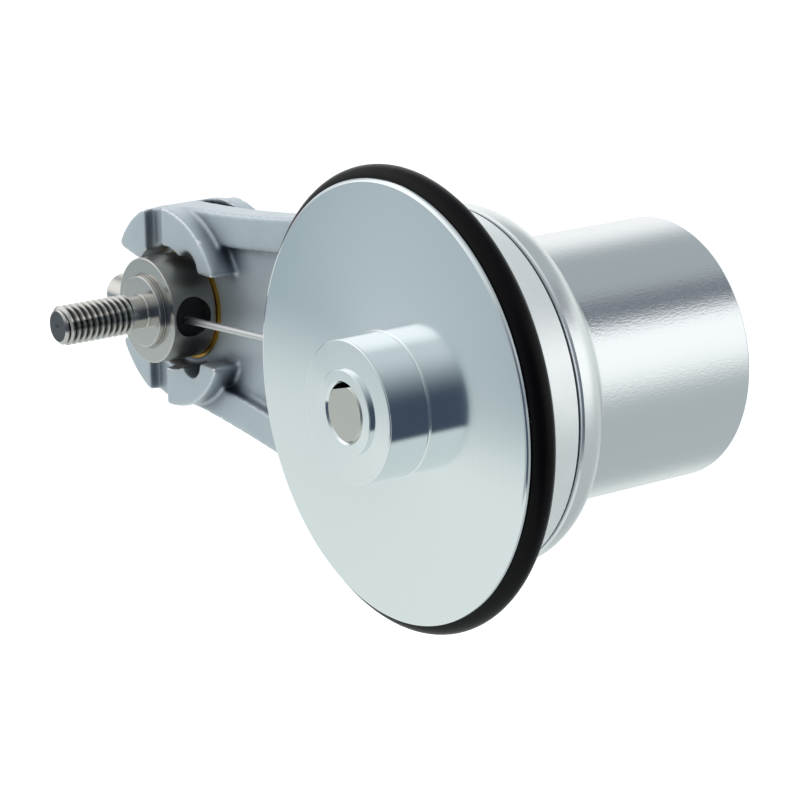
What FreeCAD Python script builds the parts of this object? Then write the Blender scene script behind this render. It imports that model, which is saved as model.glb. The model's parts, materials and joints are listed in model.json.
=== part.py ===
import FreeCAD, Part
import math
import os

# Measuring wheel on a spring arm, with an incremental encoder behind it.
# Millimetres. The origin is on the pivot axis, at the seat of the mounting stud. X runs from the
# pivot to the wheel axis, Y runs along both axes from the stud towards the encoder, Z is up.

# Clearances
PRESS = 0.02                    # radial play of a pressed or glued seat
RUNNING = 0.05                  # radial play of a turning fit
END_PLAY = 0.05                 # axial play of a turning fit
SCREW_PLAY = 0.2                # radial play of a screw in a plain hole
SAME_PLACE = 1e-6               # two places closer than this are one

# Measuring wheel
WHEEL_CIRCUMFERENCE = 200.0
TYRE_CORD_RADIUS = 1.75
RIM_RADIUS = 30.25
RIM_WIDTH = 4.9
RIM_CHAMFER = 0.5
WHEEL_FACE_Y = -0.3
WHEEL_HUB_RADIUS = 9.8
WHEEL_HUB_LENGTH = 6.4
WHEEL_HUB_CHAMFER = 0.3
HUB_LIP_RADIUS = 5.85
HUB_LIP_HEIGHT = 0.5
BORE_CHAMFER = 0.3              # at the mouth of the bore
SET_SCREW_RADIUS = 2.0
SET_SCREW_SETBACK = 4.4         # from the hub's front face
SET_SCREW_SINK = 0.6            # below the hub's outside
SET_SCREW_KEY = 2.0             # across the flats of its socket
SET_SCREW_SOCKET = 1.8

# Encoder shaft
SHAFT_RADIUS = 4.0
SHAFT_FLAT_DEPTH = 0.7
SHAFT_FLAT_TURN = 16.0          # degrees from upright, towards the pivot
SHAFT_FLAT_LENGTH = 12.0
SHAFT_SINK = 0.05               # shaft end below the hub's lip
SHAFT_CHAMFER = 0.3
SHAFT_TAIL = 0.4                # shaft end behind the disc clamp

# Spring arm
ARM_LENGTH = 63.7               # pivot axis to wheel axis
ARM_FRONT_Y = 7.3
ARM_THICKNESS = 5.0
ARM_HUB_RADIUS = 15.2
ARM_RING_RADIUS = 25.0
ARM_SIDE_RADIUS = 300.0         # hollow curve of the arm's two sides
ARM_EDGE_ROUND = 0.35
RIB_WIDTH = 5.2
WEB_RECESS = 1.55
CROWN_FRONT_HEIGHT = 2.9
CROWN_REAR_HEIGHT = 5.35
CROWN_INNER_RADIUS = 9.45
NEAR_GAP_HALF = 6.8             # half height of the gap on the wheel's side
FAR_GAP_HALF = 4.5              # half height of the far side's gap, at the pivot axis
FAR_GAP_SLOPE = 12.0            # degrees, each side of the far gap opens outwards
CROWN_EDGE_ROUND = 0.6
MERLON_CORNER = 1.0             # rounding of the merlons' outer ends
NOTCH_WIDTH = 4.7
NOTCH_OFFSET = -2.95            # notch centre, along X
NOTCH_DEPTH = 1.5
SCALLOP_RADIUS = 2.6
SCALLOP_X = 6.4
SCALLOP_Z = 7.0
WINDOW_START_X = -3.9           # recess in the rear crown's outside
WINDOW_END_X = 9.5
WINDOW_WIDTH = 2.7
WINDOW_FLOOR_Z = 12.5
REAR_BOSS_RADIUS = 8.5
REAR_BOSS_HEIGHT = 2.65
SEAT_LENGTH = 3.0
SEAT_WIDTH = 5.0

# Pivot
STUD_RADIUS = 3.0
STUD_LENGTH = 14.25
STUD_CHAMFER = 0.7
BOSS_RADIUS = 5.4
BOSS_HEIGHT = 1.05
DRUM_RADIUS = 8.0
DRUM_CHAMFER = 0.2
JOURNAL_RADIUS = 5.0
BUSH_RADIUS = 6.5
BUSH_FLANGE_RADIUS = 8.4
REAR_BUSH_FLANGE_RADIUS = 8.0
BUSH_FLANGE = 0.45
BUSH_GAP = 0.15                 # between the two bushes' inner ends
WASHER_THICKNESS = 0.5
WASHER_RADIUS = 8.0
CIRCLIP_THICKNESS = 1.0
CIRCLIP_RADIUS = 6.9
CIRCLIP_GROOVE_DEPTH = 0.4
CIRCLIP_GAP = 3.0
JOURNAL_TAIL = 1.0              # spindle end behind the retaining ring

# Spring
HOLDER_RADIUS = 3.0
HOLDER_REACH = 12.6             # from the pivot axis to the holder's outer end
HOLDER_INNER_END = 3.0          # from the pivot axis to the holder's inner end
HOLDER_EDGE_ROUND = 0.4
CROSS_HOLE_SETBACK = 3.3        # from the drum's rim face
WIRE_RADIUS = 0.55
WIRE_RISE = 4.2                 # degrees, the wire rises towards the wheel
WIRE_OFFSET = 1.18              # its line passes this far below the pivot axis
WIRE_ROOT_GAP = 0.5             # wire's inner end to the holder
SLEEVE_SINK = 2.1               # sleeve below the drum's outside
WIRE_OVERHANG = 0.5             # wire past the spring seat
WIRE_GAP = 0.77                 # wire's free end to the wheel's outside
HOLDER_SCREW_RADIUS = 1.25
HOLDER_SCREW_X = -5.2
HOLDER_SCREW_SINK = 0.3
HOLDER_SCREW_KEY = 1.3          # across the flats of its socket
HOLDER_SCREW_SOCKET = 1.2

# Encoder body
GASKET_THICKNESS = 0.25
GASKET_INSET = 1.0              # gasket edge inside the flange's edge
COLLAR_RADIUS = 10.0
COLLAR_REACH = 6.15             # collar in front of the flange
FLANGE_CHAMFER = 0.75
FLANGE_RIM = 3.75               # flange face to the shoulder's corner, before it is rounded
SHOULDER_LENGTH = 4.9
SHOULDER_ROUND = 4.5
NECK_LENGTH = 0.5               # between the shoulder and the can
NECK_ROUND = 0.7
SPIGOT_LENGTH = 4.5
FLANGE_WEB = 6.45               # flange face to its inner cavity
SPIGOT_WALL = 2.05
CAN_RADIUS = 18.6
CAN_WALL = 1.0
CAN_LENGTH = 26.15
CAN_EDGE_ROUND = 0.4
CAN_SEAL_SECTION = 1.56         # square section of the seal ring
CAN_SEAL_SETBACK = 2.5          # seal's middle, from the spigot's shoulder
FLANGE_SCREW_CIRCLE = 15.0
FLANGE_SCREW_RADIUS = 1.5
FLANGE_SCREW_HEAD_RADIUS = 2.75
FLANGE_SCREW_HEAD = 2.0
FLANGE_SCREW_KEY = 2.0          # across the flats of its socket
FLANGE_SCREW_SOCKET = 1.1
FLANGE_SCREW_GRIP = 4.5         # thread in the flange
FLANGE_SCREW_ANGLES = (60.0, 180.0, 300.0)

# Bearings
BEARING_RADIUS = 8.0
BEARING_WIDTH = 5.0
BEARING_INNER_LAND = 5.2        # outside of the inner ring
BEARING_OUTER_LAND = 6.8        # inside of the outer ring
BALL_RADIUS = 1.15
BALL_COUNT = 8
BALL_PLAY = 0.04
BEARING_SPAN = 4.0              # between the two bearings
SPACER_RADIUS = 5.0
SEAL_WIDTH = 2.0
SEAL_RECESS = 0.2               # seal behind the collar's front
BEARING_RING_THICKNESS = 1.0
BEARING_RING_INNER = 6.6
BEARING_RING_GROOVE = 0.5

# Optics and circuit board
DISC_GAP = 0.7                  # code disc's edge to the posts
DISC_THICKNESS = 0.9
DISC_HUB_RADIUS = 6.0
DISC_HUB_LENGTH = 2.4
DISC_HUB_SETBACK = 1.0          # behind the bearing housing's end
DISC_CLAMP_THICKNESS = 1.1
TRACK_INSET = 2.1               # track's middle inside the disc's edge
LIGHT_RADIUS = 1.8
LIGHT_LENGTH = 2.3
SENSOR_SIZE = 4.0
SENSOR_THICKNESS = 1.5
SENSOR_GAP = 0.6                # code disc to sensor
BOARD_GAP = 1.4                 # board's edge to the can
BOARD_THICKNESS = 1.6
POST_RADIUS = 1.5
POST_INSET = 2.0                # post's axis inside the board's edge
POST_ANGLES = (0.0, 120.0, 240.0)
BOARD_SCREW_RADIUS = 1.0
BOARD_SCREW_HEAD_RADIUS = 1.9
BOARD_SCREW_HEAD = 1.3
BOARD_SCREW_GRIP = 3.5

# Connector, on the can's side that faces the pivot
CONNECTOR_SETBACK = 17.8        # from the can's front edge
CONNECTOR_RADIUS = 6.0
CONNECTOR_LENGTH = 10.0
CONNECTOR_BORE = 4.7
CONNECTOR_COLLAR_RADIUS = 6.8
CONNECTOR_COLLAR = 2.5
CONNECTOR_NECK_RADIUS = 5.0
CONNECTOR_NECK_TAIL = 1.0       # neck past its nut
CONNECTOR_GASKET = 0.6
CONNECTOR_NUT_FLATS = 12.0
CONNECTOR_NUT = 2.1
INSERT_STEM_RADIUS = 3.95
INSERT_PLATE = 2.0
PIN_RADIUS = 0.4
PIN_CIRCLE = 2.75
PIN_COUNT = 7
PIN_SINK = 1.0                  # pin tips behind the connector's mouth
PIN_TAIL = 1.0
LEAD_THICKNESS = 0.5
LEAD_WIDTH = 6.0

# Places along the axes, worked out from the sizes above
TYRE_RADIUS = WHEEL_CIRCUMFERENCE / (2.0 * math.pi)
TYRE_RING_RADIUS = TYRE_RADIUS - TYRE_CORD_RADIUS
TYRE_Y = WHEEL_FACE_Y + RIM_WIDTH / 2.0
WHEEL_REAR_Y = WHEEL_FACE_Y + RIM_WIDTH
HUB_FRONT_Y = WHEEL_FACE_Y - WHEEL_HUB_LENGTH
LIP_FRONT_Y = HUB_FRONT_Y - HUB_LIP_HEIGHT
SET_SCREW_Y = HUB_FRONT_Y + SET_SCREW_SETBACK
SHAFT_FRONT_Y = LIP_FRONT_Y + SHAFT_SINK
ARM_REAR_Y = ARM_FRONT_Y + ARM_THICKNESS
WEB_FRONT_Y = ARM_FRONT_Y + WEB_RECESS
WEB_REAR_Y = ARM_REAR_Y - WEB_RECESS
CROWN_FRONT_Y = ARM_FRONT_Y - CROWN_FRONT_HEIGHT
CROWN_REAR_Y = ARM_REAR_Y + CROWN_REAR_HEIGHT
CROWN_REACH = 2.0 * ARM_HUB_RADIUS   # well outside the crown, for cuts across it
REAR_BOSS_Y = WEB_REAR_Y + REAR_BOSS_HEIGHT
DRUM_REAR_Y = WEB_FRONT_Y - BUSH_FLANGE - END_PLAY
CROSS_HOLE_Y = BOSS_HEIGHT + CROSS_HOLE_SETBACK
CROSS_HOLE_RADIUS = HOLDER_RADIUS + RUNNING
WIRE_START_X = WIRE_ROOT_GAP - HOLDER_INNER_END
SLEEVE_END_X = DRUM_RADIUS - SLEEVE_SINK
SEAT_FRONT_Y = CROSS_HOLE_Y - WIRE_RADIUS
WIRE_END_X = ARM_LENGTH - max(TYRE_RADIUS, RIM_RADIUS) - WIRE_GAP
SEAT_END_X = WIRE_END_X - WIRE_OVERHANG
SEAT_X = SEAT_END_X - SEAT_LENGTH
WASHER_Y = REAR_BOSS_Y + BUSH_FLANGE + END_PLAY
CIRCLIP_Y = WASHER_Y + WASHER_THICKNESS + END_PLAY
CIRCLIP_GROOVE_RADIUS = JOURNAL_RADIUS - CIRCLIP_GROOVE_DEPTH
JOURNAL_END_Y = CIRCLIP_Y + CIRCLIP_THICKNESS + JOURNAL_TAIL
FLANGE_RADIUS = ARM_RING_RADIUS
FLANGE_Y = ARM_REAR_Y + GASKET_THICKNESS
COLLAR_Y = FLANGE_Y - COLLAR_REACH
SHOULDER_Y = FLANGE_Y + FLANGE_RIM
NECK_Y = SHOULDER_Y + SHOULDER_LENGTH
CAN_Y = NECK_Y + NECK_LENGTH
CAN_END_Y = CAN_Y + CAN_LENGTH
CAN_INNER_RADIUS = CAN_RADIUS - CAN_WALL
SPIGOT_RADIUS = CAN_INNER_RADIUS - RUNNING
SPIGOT_END_Y = CAN_Y + SPIGOT_LENGTH
CAVITY_RADIUS = SPIGOT_RADIUS - SPIGOT_WALL
BOARD_RADIUS = CAN_INNER_RADIUS - BOARD_GAP
POST_CIRCLE = BOARD_RADIUS - POST_INSET
DISC_RADIUS = POST_CIRCLE - POST_RADIUS - DISC_GAP
TRACK_RADIUS = DISC_RADIUS - TRACK_INSET
CAVITY_Y = FLANGE_Y + FLANGE_WEB
SEAL_Y = COLLAR_Y + SEAL_RECESS
FRONT_BEARING_Y = SEAL_Y + SEAL_WIDTH
REAR_BEARING_Y = FRONT_BEARING_Y + BEARING_WIDTH + BEARING_SPAN
BEARING_RING_Y = REAR_BEARING_Y + BEARING_WIDTH
HOUSING_END_Y = BEARING_RING_Y + BEARING_RING_THICKNESS + END_PLAY + BEARING_RING_GROOVE
DISC_HUB_Y = HOUSING_END_Y + DISC_HUB_SETBACK
DISC_Y = DISC_HUB_Y + DISC_HUB_LENGTH
DISC_CLAMP_Y = DISC_Y + DISC_THICKNESS
SHAFT_END_Y = DISC_CLAMP_Y + DISC_CLAMP_THICKNESS + SHAFT_TAIL
BOARD_Y = DISC_CLAMP_Y + SENSOR_GAP + SENSOR_THICKNESS
BOARD_REAR_Y = BOARD_Y + BOARD_THICKNESS
CONNECTOR_Y = CAN_Y + CONNECTOR_SETBACK
NUT_REACH = math.sqrt(CAN_INNER_RADIUS ** 2 - CONNECTOR_NUT_FLATS ** 2 / 3.0)
COLLAR_REACH_END = CAN_RADIUS + CONNECTOR_GASKET + CONNECTOR_COLLAR
MOUTH_REACH = COLLAR_REACH_END + CONNECTOR_LENGTH
NECK_END_REACH = NUT_REACH - CONNECTOR_NUT - CONNECTOR_NECK_TAIL


def vector(x, y, z):
    return FreeCAD.Vector(x, y, z)


def rod(radius, start_y, end_y, x=0.0, z=0.0):
    """A cylinder along Y."""
    return Part.makeCylinder(radius, end_y - start_y, vector(x, start_y, z), vector(0, 1, 0))


def tube(outer, inner, start_y, end_y, x=0.0, z=0.0):
    """A plain ring along Y."""
    return rod(outer, start_y, end_y, x, z).cut(rod(inner, start_y, end_y, x, z))


def box(low, high):
    """A block between two opposite corners."""
    size = [top - bottom for bottom, top in zip(low, high)]
    return Part.makeBox(*size, vector(*low))


def lathe(outline, x=0.0):
    """Turn a closed outline of (radius, y) points about the axis at x.

    A third value makes the stretch that ends there an arc, and is the (radius, y) it passes through.
    """
    places = [vector(x + step[0], step[1], 0) for step in outline]
    edges = []
    for index, step in enumerate(outline):
        before = places[index - 1]
        here = places[index]
        if len(step) == 3:
            through = vector(x + step[2][0], step[2][1], 0)
            edges.append(Part.Arc(before, through, here).toShape())
        else:
            edges.append(Part.LineSegment(before, here).toShape())
    face = Part.Face(Part.Wire(edges))
    return face.revolve(vector(x, 0, 0), vector(0, 1, 0), 360)


def circle_places(radius, angles, x=0.0):
    """Points (x, z) on a circle about the axis at x, at the given angles in degrees."""
    turns = [math.radians(angle) for angle in angles]
    return [(x + radius * math.cos(turn), radius * math.sin(turn)) for turn in turns]


def side_rod(radius, start_reach, end_reach, y, z=0.0):
    """A cylinder from the encoder's axis towards the pivot, between two distances from that axis."""
    base = vector(ARM_LENGTH - start_reach, y, z)
    return Part.makeCylinder(radius, end_reach - start_reach, base, vector(-1, 0, 0))


def hex_prism(flats, base, direction, length):
    """A hexagonal bar along a direction, given by its size across the flats."""
    corner = flats / math.sqrt(3.0)
    first = vector(1, 0, 0) if abs(direction.x) < 0.5 else vector(0, 0, 1)
    second = direction.cross(first)
    corners = []
    for angle in range(0, 420, 60):
        turn = math.radians(angle)
        corners.append(base + (first * math.cos(turn) + second * math.sin(turn)) * corner)
    return Part.Face(Part.makePolygon(corners)).extrude(direction * length)


# Spring arm

def arm_outline(inset, start_y, end_y):
    """The arm's hub, hollow sides and ring, drawn inwards by an inset."""
    hub = ARM_HUB_RADIUS - inset
    ring = ARM_RING_RADIUS - inset
    side = ARM_SIDE_RADIUS + inset
    to_hub = side + hub
    to_ring = side + ring
    centre_x = (ARM_LENGTH ** 2 + to_hub ** 2 - to_ring ** 2) / (2.0 * ARM_LENGTH)
    centre_z = math.sqrt(to_hub ** 2 - centre_x ** 2)
    side_centre = vector(centre_x, start_y, centre_z)
    hub_centre = vector(0, start_y, 0)
    ring_centre = vector(ARM_LENGTH, start_y, 0)
    hub_top = hub_centre + (side_centre - hub_centre) * (hub / to_hub)
    ring_top = ring_centre + (side_centre - ring_centre) * (ring / to_ring)
    middle = (hub_top + ring_top) * 0.5 - side_centre
    side_top = side_centre + middle.normalize() * side
    flip = FreeCAD.Matrix()
    flip.scale(1, 1, -1)
    hub_low, side_low, ring_low = [flip.multiply(place) for place in (hub_top, side_top, ring_top)]
    edges = [
        Part.Arc(hub_top, side_top, ring_top),
        Part.Arc(ring_top, ring_centre + vector(ring, 0, 0), ring_low),
        Part.Arc(ring_low, side_low, hub_low),
        Part.Arc(hub_low, hub_centre - vector(hub, 0, 0), hub_top),
    ]
    wire = Part.Wire([edge.toShape() for edge in edges])
    return Part.Face(wire).extrude(vector(0, end_y - start_y, 0))


def rounded(shape, radius, belongs):
    """Round the edges that a test on their middle point picks."""
    edges = []
    for edge in shape.Edges:
        middle = edge.getParameterByLength(edge.Length / 2.0)
        if belongs(edge.valueAt(middle)):
            edges.append(edge)
    return shape.makeFillet(radius, edges)


def arm_plate():
    """The flat body of the arm, with its long edges rounded."""
    plate = arm_outline(0.0, ARM_FRONT_Y, ARM_REAR_Y)
    faces_y = (ARM_FRONT_Y, ARM_REAR_Y)
    return rounded(plate, ARM_EDGE_ROUND, lambda place: min(abs(place.y - y) for y in faces_y) < SAME_PLACE)


def near_gap(start_y, end_y):
    """The wide gap between the merlons, on the wheel's side."""
    return box((0, start_y, -NEAR_GAP_HALF), (CROWN_REACH, end_y, NEAR_GAP_HALF))


def far_gap(start_y, end_y):
    """The gap on the far side of the pivot, which opens outwards."""
    outer_half = FAR_GAP_HALF + CROWN_REACH * math.tan(math.radians(FAR_GAP_SLOPE))
    corners = [
        vector(0, start_y, -FAR_GAP_HALF),
        vector(0, start_y, FAR_GAP_HALF),
        vector(-CROWN_REACH, start_y, outer_half),
        vector(-CROWN_REACH, start_y, -outer_half),
    ]
    outline = Part.makePolygon(corners + corners[:1])
    return Part.Face(outline).extrude(vector(0, end_y - start_y, 0))


def crown(root_y, tip_y):
    """A castellated ring round the pivot: four merlons with rounded ends, those by the wheel scalloped inside."""
    low = min(root_y, tip_y)
    high = max(root_y, tip_y)
    middle_y = (low + high) / 2.0
    ring = tube(ARM_HUB_RADIUS, CROWN_INNER_RADIUS, low, high)
    ring = ring.cut([near_gap(low, high), far_gap(low, high)])
    ring = rounded(ring, MERLON_CORNER, lambda place: (
        abs(place.y - middle_y) < SAME_PLACE
        and abs(place.x) > ARM_HUB_RADIUS / 2.0
        and math.hypot(place.x, place.z) > ARM_HUB_RADIUS - SAME_PLACE))
    notch_floor = tip_y + math.copysign(NOTCH_DEPTH, root_y - tip_y)
    notch_low = (NOTCH_OFFSET - NOTCH_WIDTH / 2.0, min(tip_y, notch_floor), -CROWN_REACH)
    notch_high = (NOTCH_OFFSET + NOTCH_WIDTH / 2.0, max(tip_y, notch_floor), CROWN_REACH)
    cuts = [box(notch_low, notch_high)]
    for z in (-SCALLOP_Z, SCALLOP_Z):
        cuts.append(rod(SCALLOP_RADIUS, low, high, SCALLOP_X, z))
    ring = ring.cut(cuts)
    return rounded(ring, CROWN_EDGE_ROUND, lambda place: abs(place.y - tip_y) < SAME_PLACE)


def web_pocket(start_y, end_y):
    """The recess between the ribs, open towards the pivot and closed by the encoder's ring."""
    pocket = arm_outline(RIB_WIDTH, start_y, end_y)
    middle = rod(CROWN_INNER_RADIUS, start_y, end_y)
    pocket = pocket.fuse([far_gap(start_y, end_y), middle])
    return pocket.cut(rod(ARM_RING_RADIUS, start_y, end_y, ARM_LENGTH))


def wire_rod(radius, start_x, end_x):
    """A round bar along the spring wire's line, between two places along X."""
    slope = math.tan(math.radians(WIRE_RISE))
    start = vector(start_x, CROSS_HOLE_Y, start_x * slope - WIRE_OFFSET)
    along = vector(end_x - start_x, 0, (end_x - start_x) * slope)
    return Part.makeCylinder(radius, along.Length, start, along)


def spring_seat():
    """The forked post that guides the free end of the spring wire."""
    half = SEAT_WIDTH / 2.0
    slot_half = WIRE_RADIUS + RUNNING
    slot_low = (SEAT_X - SEAT_LENGTH, SEAT_FRONT_Y, -slot_half)
    slot = box(slot_low, (SEAT_END_X + SEAT_LENGTH, CROSS_HOLE_Y + slot_half, slot_half))
    slot.rotate(vector(0, 0, 0), vector(0, 1, 0), -WIRE_RISE)
    slot.translate(vector(0, 0, -WIRE_OFFSET))
    middle_z = slot.BoundBox.Center.z
    post = box((SEAT_X, SEAT_FRONT_Y, middle_z - half), (SEAT_END_X, WEB_FRONT_Y, middle_z + half))
    return post.cut(slot)


def spring_arm():
    arm = arm_plate()
    arm = arm.cut([web_pocket(ARM_FRONT_Y, WEB_FRONT_Y), web_pocket(WEB_REAR_Y, ARM_REAR_Y)])
    additions = [
        crown(WEB_FRONT_Y, CROWN_FRONT_Y),
        crown(WEB_REAR_Y, CROWN_REAR_Y),
        rod(REAR_BOSS_RADIUS, WEB_REAR_Y, REAR_BOSS_Y),
        spring_seat(),
    ]
    arm = arm.fuse(additions).removeSplitter()
    cuts = [rod(BUSH_RADIUS + PRESS, WEB_FRONT_Y, REAR_BOSS_Y)]
    cuts.append(rod(COLLAR_RADIUS + RUNNING, ARM_FRONT_Y, ARM_REAR_Y, ARM_LENGTH))
    window_end_y = ARM_REAR_Y + WINDOW_WIDTH
    for low_z, high_z in ((WINDOW_FLOOR_Z, CROWN_REACH), (-CROWN_REACH, -WINDOW_FLOOR_Z)):
        cuts.append(box((WINDOW_START_X, ARM_REAR_Y, low_z), (WINDOW_END_X, window_end_y, high_z)))
    for x, z in circle_places(FLANGE_SCREW_CIRCLE, FLANGE_SCREW_ANGLES, ARM_LENGTH):
        cuts.append(rod(FLANGE_SCREW_RADIUS + SCREW_PLAY, ARM_FRONT_Y, ARM_REAR_Y, x, z))
        head = FLANGE_SCREW_HEAD_RADIUS + SCREW_PLAY
        cuts.append(rod(head, ARM_FRONT_Y, ARM_FRONT_Y + FLANGE_SCREW_HEAD, x, z))
    return arm.cut(cuts)


# Pivot pieces

def pivot_spindle():
    """Stud, seat boss, drum with a cross hole for the spring, and journal, turned in one piece.

    The stud is drawn at its thread's outside diameter.
    """
    spindle = lathe([
        (0, -STUD_LENGTH),
        (STUD_RADIUS - STUD_CHAMFER, -STUD_LENGTH),
        (STUD_RADIUS, STUD_CHAMFER - STUD_LENGTH),
        (STUD_RADIUS, 0),
        (BOSS_RADIUS, 0),
        (BOSS_RADIUS, BOSS_HEIGHT),
        (DRUM_RADIUS - DRUM_CHAMFER, BOSS_HEIGHT),
        (DRUM_RADIUS, BOSS_HEIGHT + DRUM_CHAMFER),
        (DRUM_RADIUS, DRUM_REAR_Y),
        (JOURNAL_RADIUS, DRUM_REAR_Y),
        (JOURNAL_RADIUS, CIRCLIP_Y),
        (CIRCLIP_GROOVE_RADIUS, CIRCLIP_Y),
        (CIRCLIP_GROOVE_RADIUS, CIRCLIP_Y + CIRCLIP_THICKNESS + END_PLAY),
        (JOURNAL_RADIUS, CIRCLIP_Y + CIRCLIP_THICKNESS + END_PLAY),
        (JOURNAL_RADIUS, JOURNAL_END_Y - DRUM_CHAMFER),
        (JOURNAL_RADIUS - DRUM_CHAMFER, JOURNAL_END_Y),
        (0, JOURNAL_END_Y),
    ])
    hole_base = vector(-HOLDER_REACH, CROSS_HOLE_Y, 0)
    hole = Part.makeCylinder(CROSS_HOLE_RADIUS, 2.0 * HOLDER_REACH, hole_base, vector(1, 0, 0))
    screw_base = vector(HOLDER_SCREW_X, CROSS_HOLE_Y, -DRUM_RADIUS)
    screw_hole = Part.makeCylinder(HOLDER_SCREW_RADIUS + PRESS, DRUM_RADIUS, screw_base)
    return spindle.cut([hole, screw_hole])


def spring_holder():
    """Pin in the far end of the drum's cross hole; it backs the spring wire's sleeve."""
    length = HOLDER_REACH - HOLDER_INNER_END
    base = vector(-HOLDER_REACH, CROSS_HOLE_Y, 0)
    pin = Part.makeCylinder(HOLDER_RADIUS, length, base, vector(1, 0, 0))
    return rounded(pin, HOLDER_EDGE_ROUND, lambda place: abs(place.x + HOLDER_REACH) < SAME_PLACE)


def wire_sleeve():
    """Plastic sleeve in the near end of the cross hole; it holds the root of the spring wire."""
    base = vector(-HOLDER_INNER_END, CROSS_HOLE_Y, 0)
    length = SLEEVE_END_X + HOLDER_INNER_END
    sleeve = Part.makeCylinder(CROSS_HOLE_RADIUS - PRESS, length, base, vector(1, 0, 0))
    return sleeve.cut(wire_rod(WIRE_RADIUS + PRESS, WIRE_START_X, DRUM_RADIUS))


def spring_wire():
    return wire_rod(WIRE_RADIUS, WIRE_START_X, WIRE_END_X)


def holder_grub_screw():
    outside = math.sqrt(DRUM_RADIUS ** 2 - HOLDER_SCREW_X ** 2) - HOLDER_SCREW_SINK
    base = vector(HOLDER_SCREW_X, CROSS_HOLE_Y, -outside)
    screw = Part.makeCylinder(HOLDER_SCREW_RADIUS, outside - HOLDER_RADIUS - PRESS, base)
    return screw.cut(hex_prism(HOLDER_SCREW_KEY, base, vector(0, 0, 1), HOLDER_SCREW_SOCKET))


def pivot_bush(flange_radius, flange_y, direction):
    """Flanged bronze bush: its flange stands on the hub and its sleeve goes in along direction."""
    length = (REAR_BOSS_Y - WEB_FRONT_Y - BUSH_GAP) / 2.0
    outer_y = flange_y - direction * BUSH_FLANGE
    inner_y = flange_y + direction * length
    sleeve = rod(BUSH_RADIUS, min(flange_y, inner_y), max(flange_y, inner_y))
    flange = rod(flange_radius, min(flange_y, outer_y), max(flange_y, outer_y))
    bore = rod(JOURNAL_RADIUS + RUNNING, min(inner_y, outer_y), max(inner_y, outer_y))
    return sleeve.fuse(flange).cut(bore).removeSplitter()


def pivot_circlip():
    ring = tube(CIRCLIP_RADIUS, CIRCLIP_GROOVE_RADIUS + PRESS, CIRCLIP_Y, CIRCLIP_Y + CIRCLIP_THICKNESS)
    half = CIRCLIP_GAP / 2.0
    return ring.cut(box((-half, CIRCLIP_Y, 0), (half, CIRCLIP_Y + CIRCLIP_THICKNESS, CIRCLIP_RADIUS)))


# Wheel pieces

def measuring_wheel():
    """Turned disc with a tyre groove, a hub and a raised lip round the bore."""
    hub_corner = WHEEL_HUB_RADIUS - WHEEL_HUB_CHAMFER
    groove_floor = TYRE_RING_RADIUS - TYRE_CORD_RADIUS - PRESS
    groove_front = TYRE_Y - TYRE_CORD_RADIUS - PRESS
    groove_rear = TYRE_Y + TYRE_CORD_RADIUS + PRESS
    wheel = lathe([
        (SHAFT_RADIUS + PRESS, LIP_FRONT_Y + BORE_CHAMFER),
        (SHAFT_RADIUS + PRESS + BORE_CHAMFER, LIP_FRONT_Y),
        (HUB_LIP_RADIUS, LIP_FRONT_Y),
        (HUB_LIP_RADIUS, HUB_FRONT_Y),
        (hub_corner, HUB_FRONT_Y),
        (WHEEL_HUB_RADIUS, HUB_FRONT_Y + WHEEL_HUB_CHAMFER),
        (WHEEL_HUB_RADIUS, WHEEL_FACE_Y),
        (RIM_RADIUS - RIM_CHAMFER, WHEEL_FACE_Y),
        (RIM_RADIUS, WHEEL_FACE_Y + RIM_CHAMFER),
        (RIM_RADIUS, groove_front),
        (groove_floor, groove_front),
        (groove_floor, groove_rear),
        (RIM_RADIUS, groove_rear),
        (RIM_RADIUS, WHEEL_REAR_Y - RIM_CHAMFER),
        (RIM_RADIUS - RIM_CHAMFER, WHEEL_REAR_Y),
        (SHAFT_RADIUS + PRESS, WHEEL_REAR_Y),
    ], ARM_LENGTH)
    hole_base = vector(ARM_LENGTH, SET_SCREW_Y, 0)
    downwards = vector(0, 0, -1)
    return wheel.cut(Part.makeCylinder(SET_SCREW_RADIUS + PRESS, WHEEL_HUB_RADIUS, hole_base, downwards))


def tyre():
    centre = vector(ARM_LENGTH, TYRE_Y, 0)
    return Part.makeTorus(TYRE_RING_RADIUS, TYRE_CORD_RADIUS, centre, vector(0, 1, 0))


def encoder_shaft():
    """Ground shaft with a flat at its front end."""
    shaft = lathe([
        (0, SHAFT_FRONT_Y),
        (SHAFT_RADIUS - SHAFT_CHAMFER, SHAFT_FRONT_Y),
        (SHAFT_RADIUS, SHAFT_FRONT_Y + SHAFT_CHAMFER),
        (SHAFT_RADIUS, SHAFT_END_Y),
        (0, SHAFT_END_Y),
    ], ARM_LENGTH)
    low = (ARM_LENGTH - SHAFT_RADIUS, SHAFT_FRONT_Y, SHAFT_RADIUS - SHAFT_FLAT_DEPTH)
    high = (ARM_LENGTH + SHAFT_RADIUS, SHAFT_FRONT_Y + SHAFT_FLAT_LENGTH, SHAFT_RADIUS)
    flat = box(low, high)
    flat.rotate(vector(ARM_LENGTH, 0, 0), vector(0, 1, 0), -SHAFT_FLAT_TURN)
    return shaft.cut(flat)


def wheel_set_screw():
    """Grub screw under the hub, on the shaft's round side."""
    outer_z = SET_SCREW_SINK - WHEEL_HUB_RADIUS
    base = vector(ARM_LENGTH, SET_SCREW_Y, outer_z)
    screw = Part.makeCylinder(SET_SCREW_RADIUS, -SHAFT_RADIUS - PRESS - outer_z, base)
    return screw.cut(hex_prism(SET_SCREW_KEY, base, vector(0, 0, 1), SET_SCREW_SOCKET))


# Bearings

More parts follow.
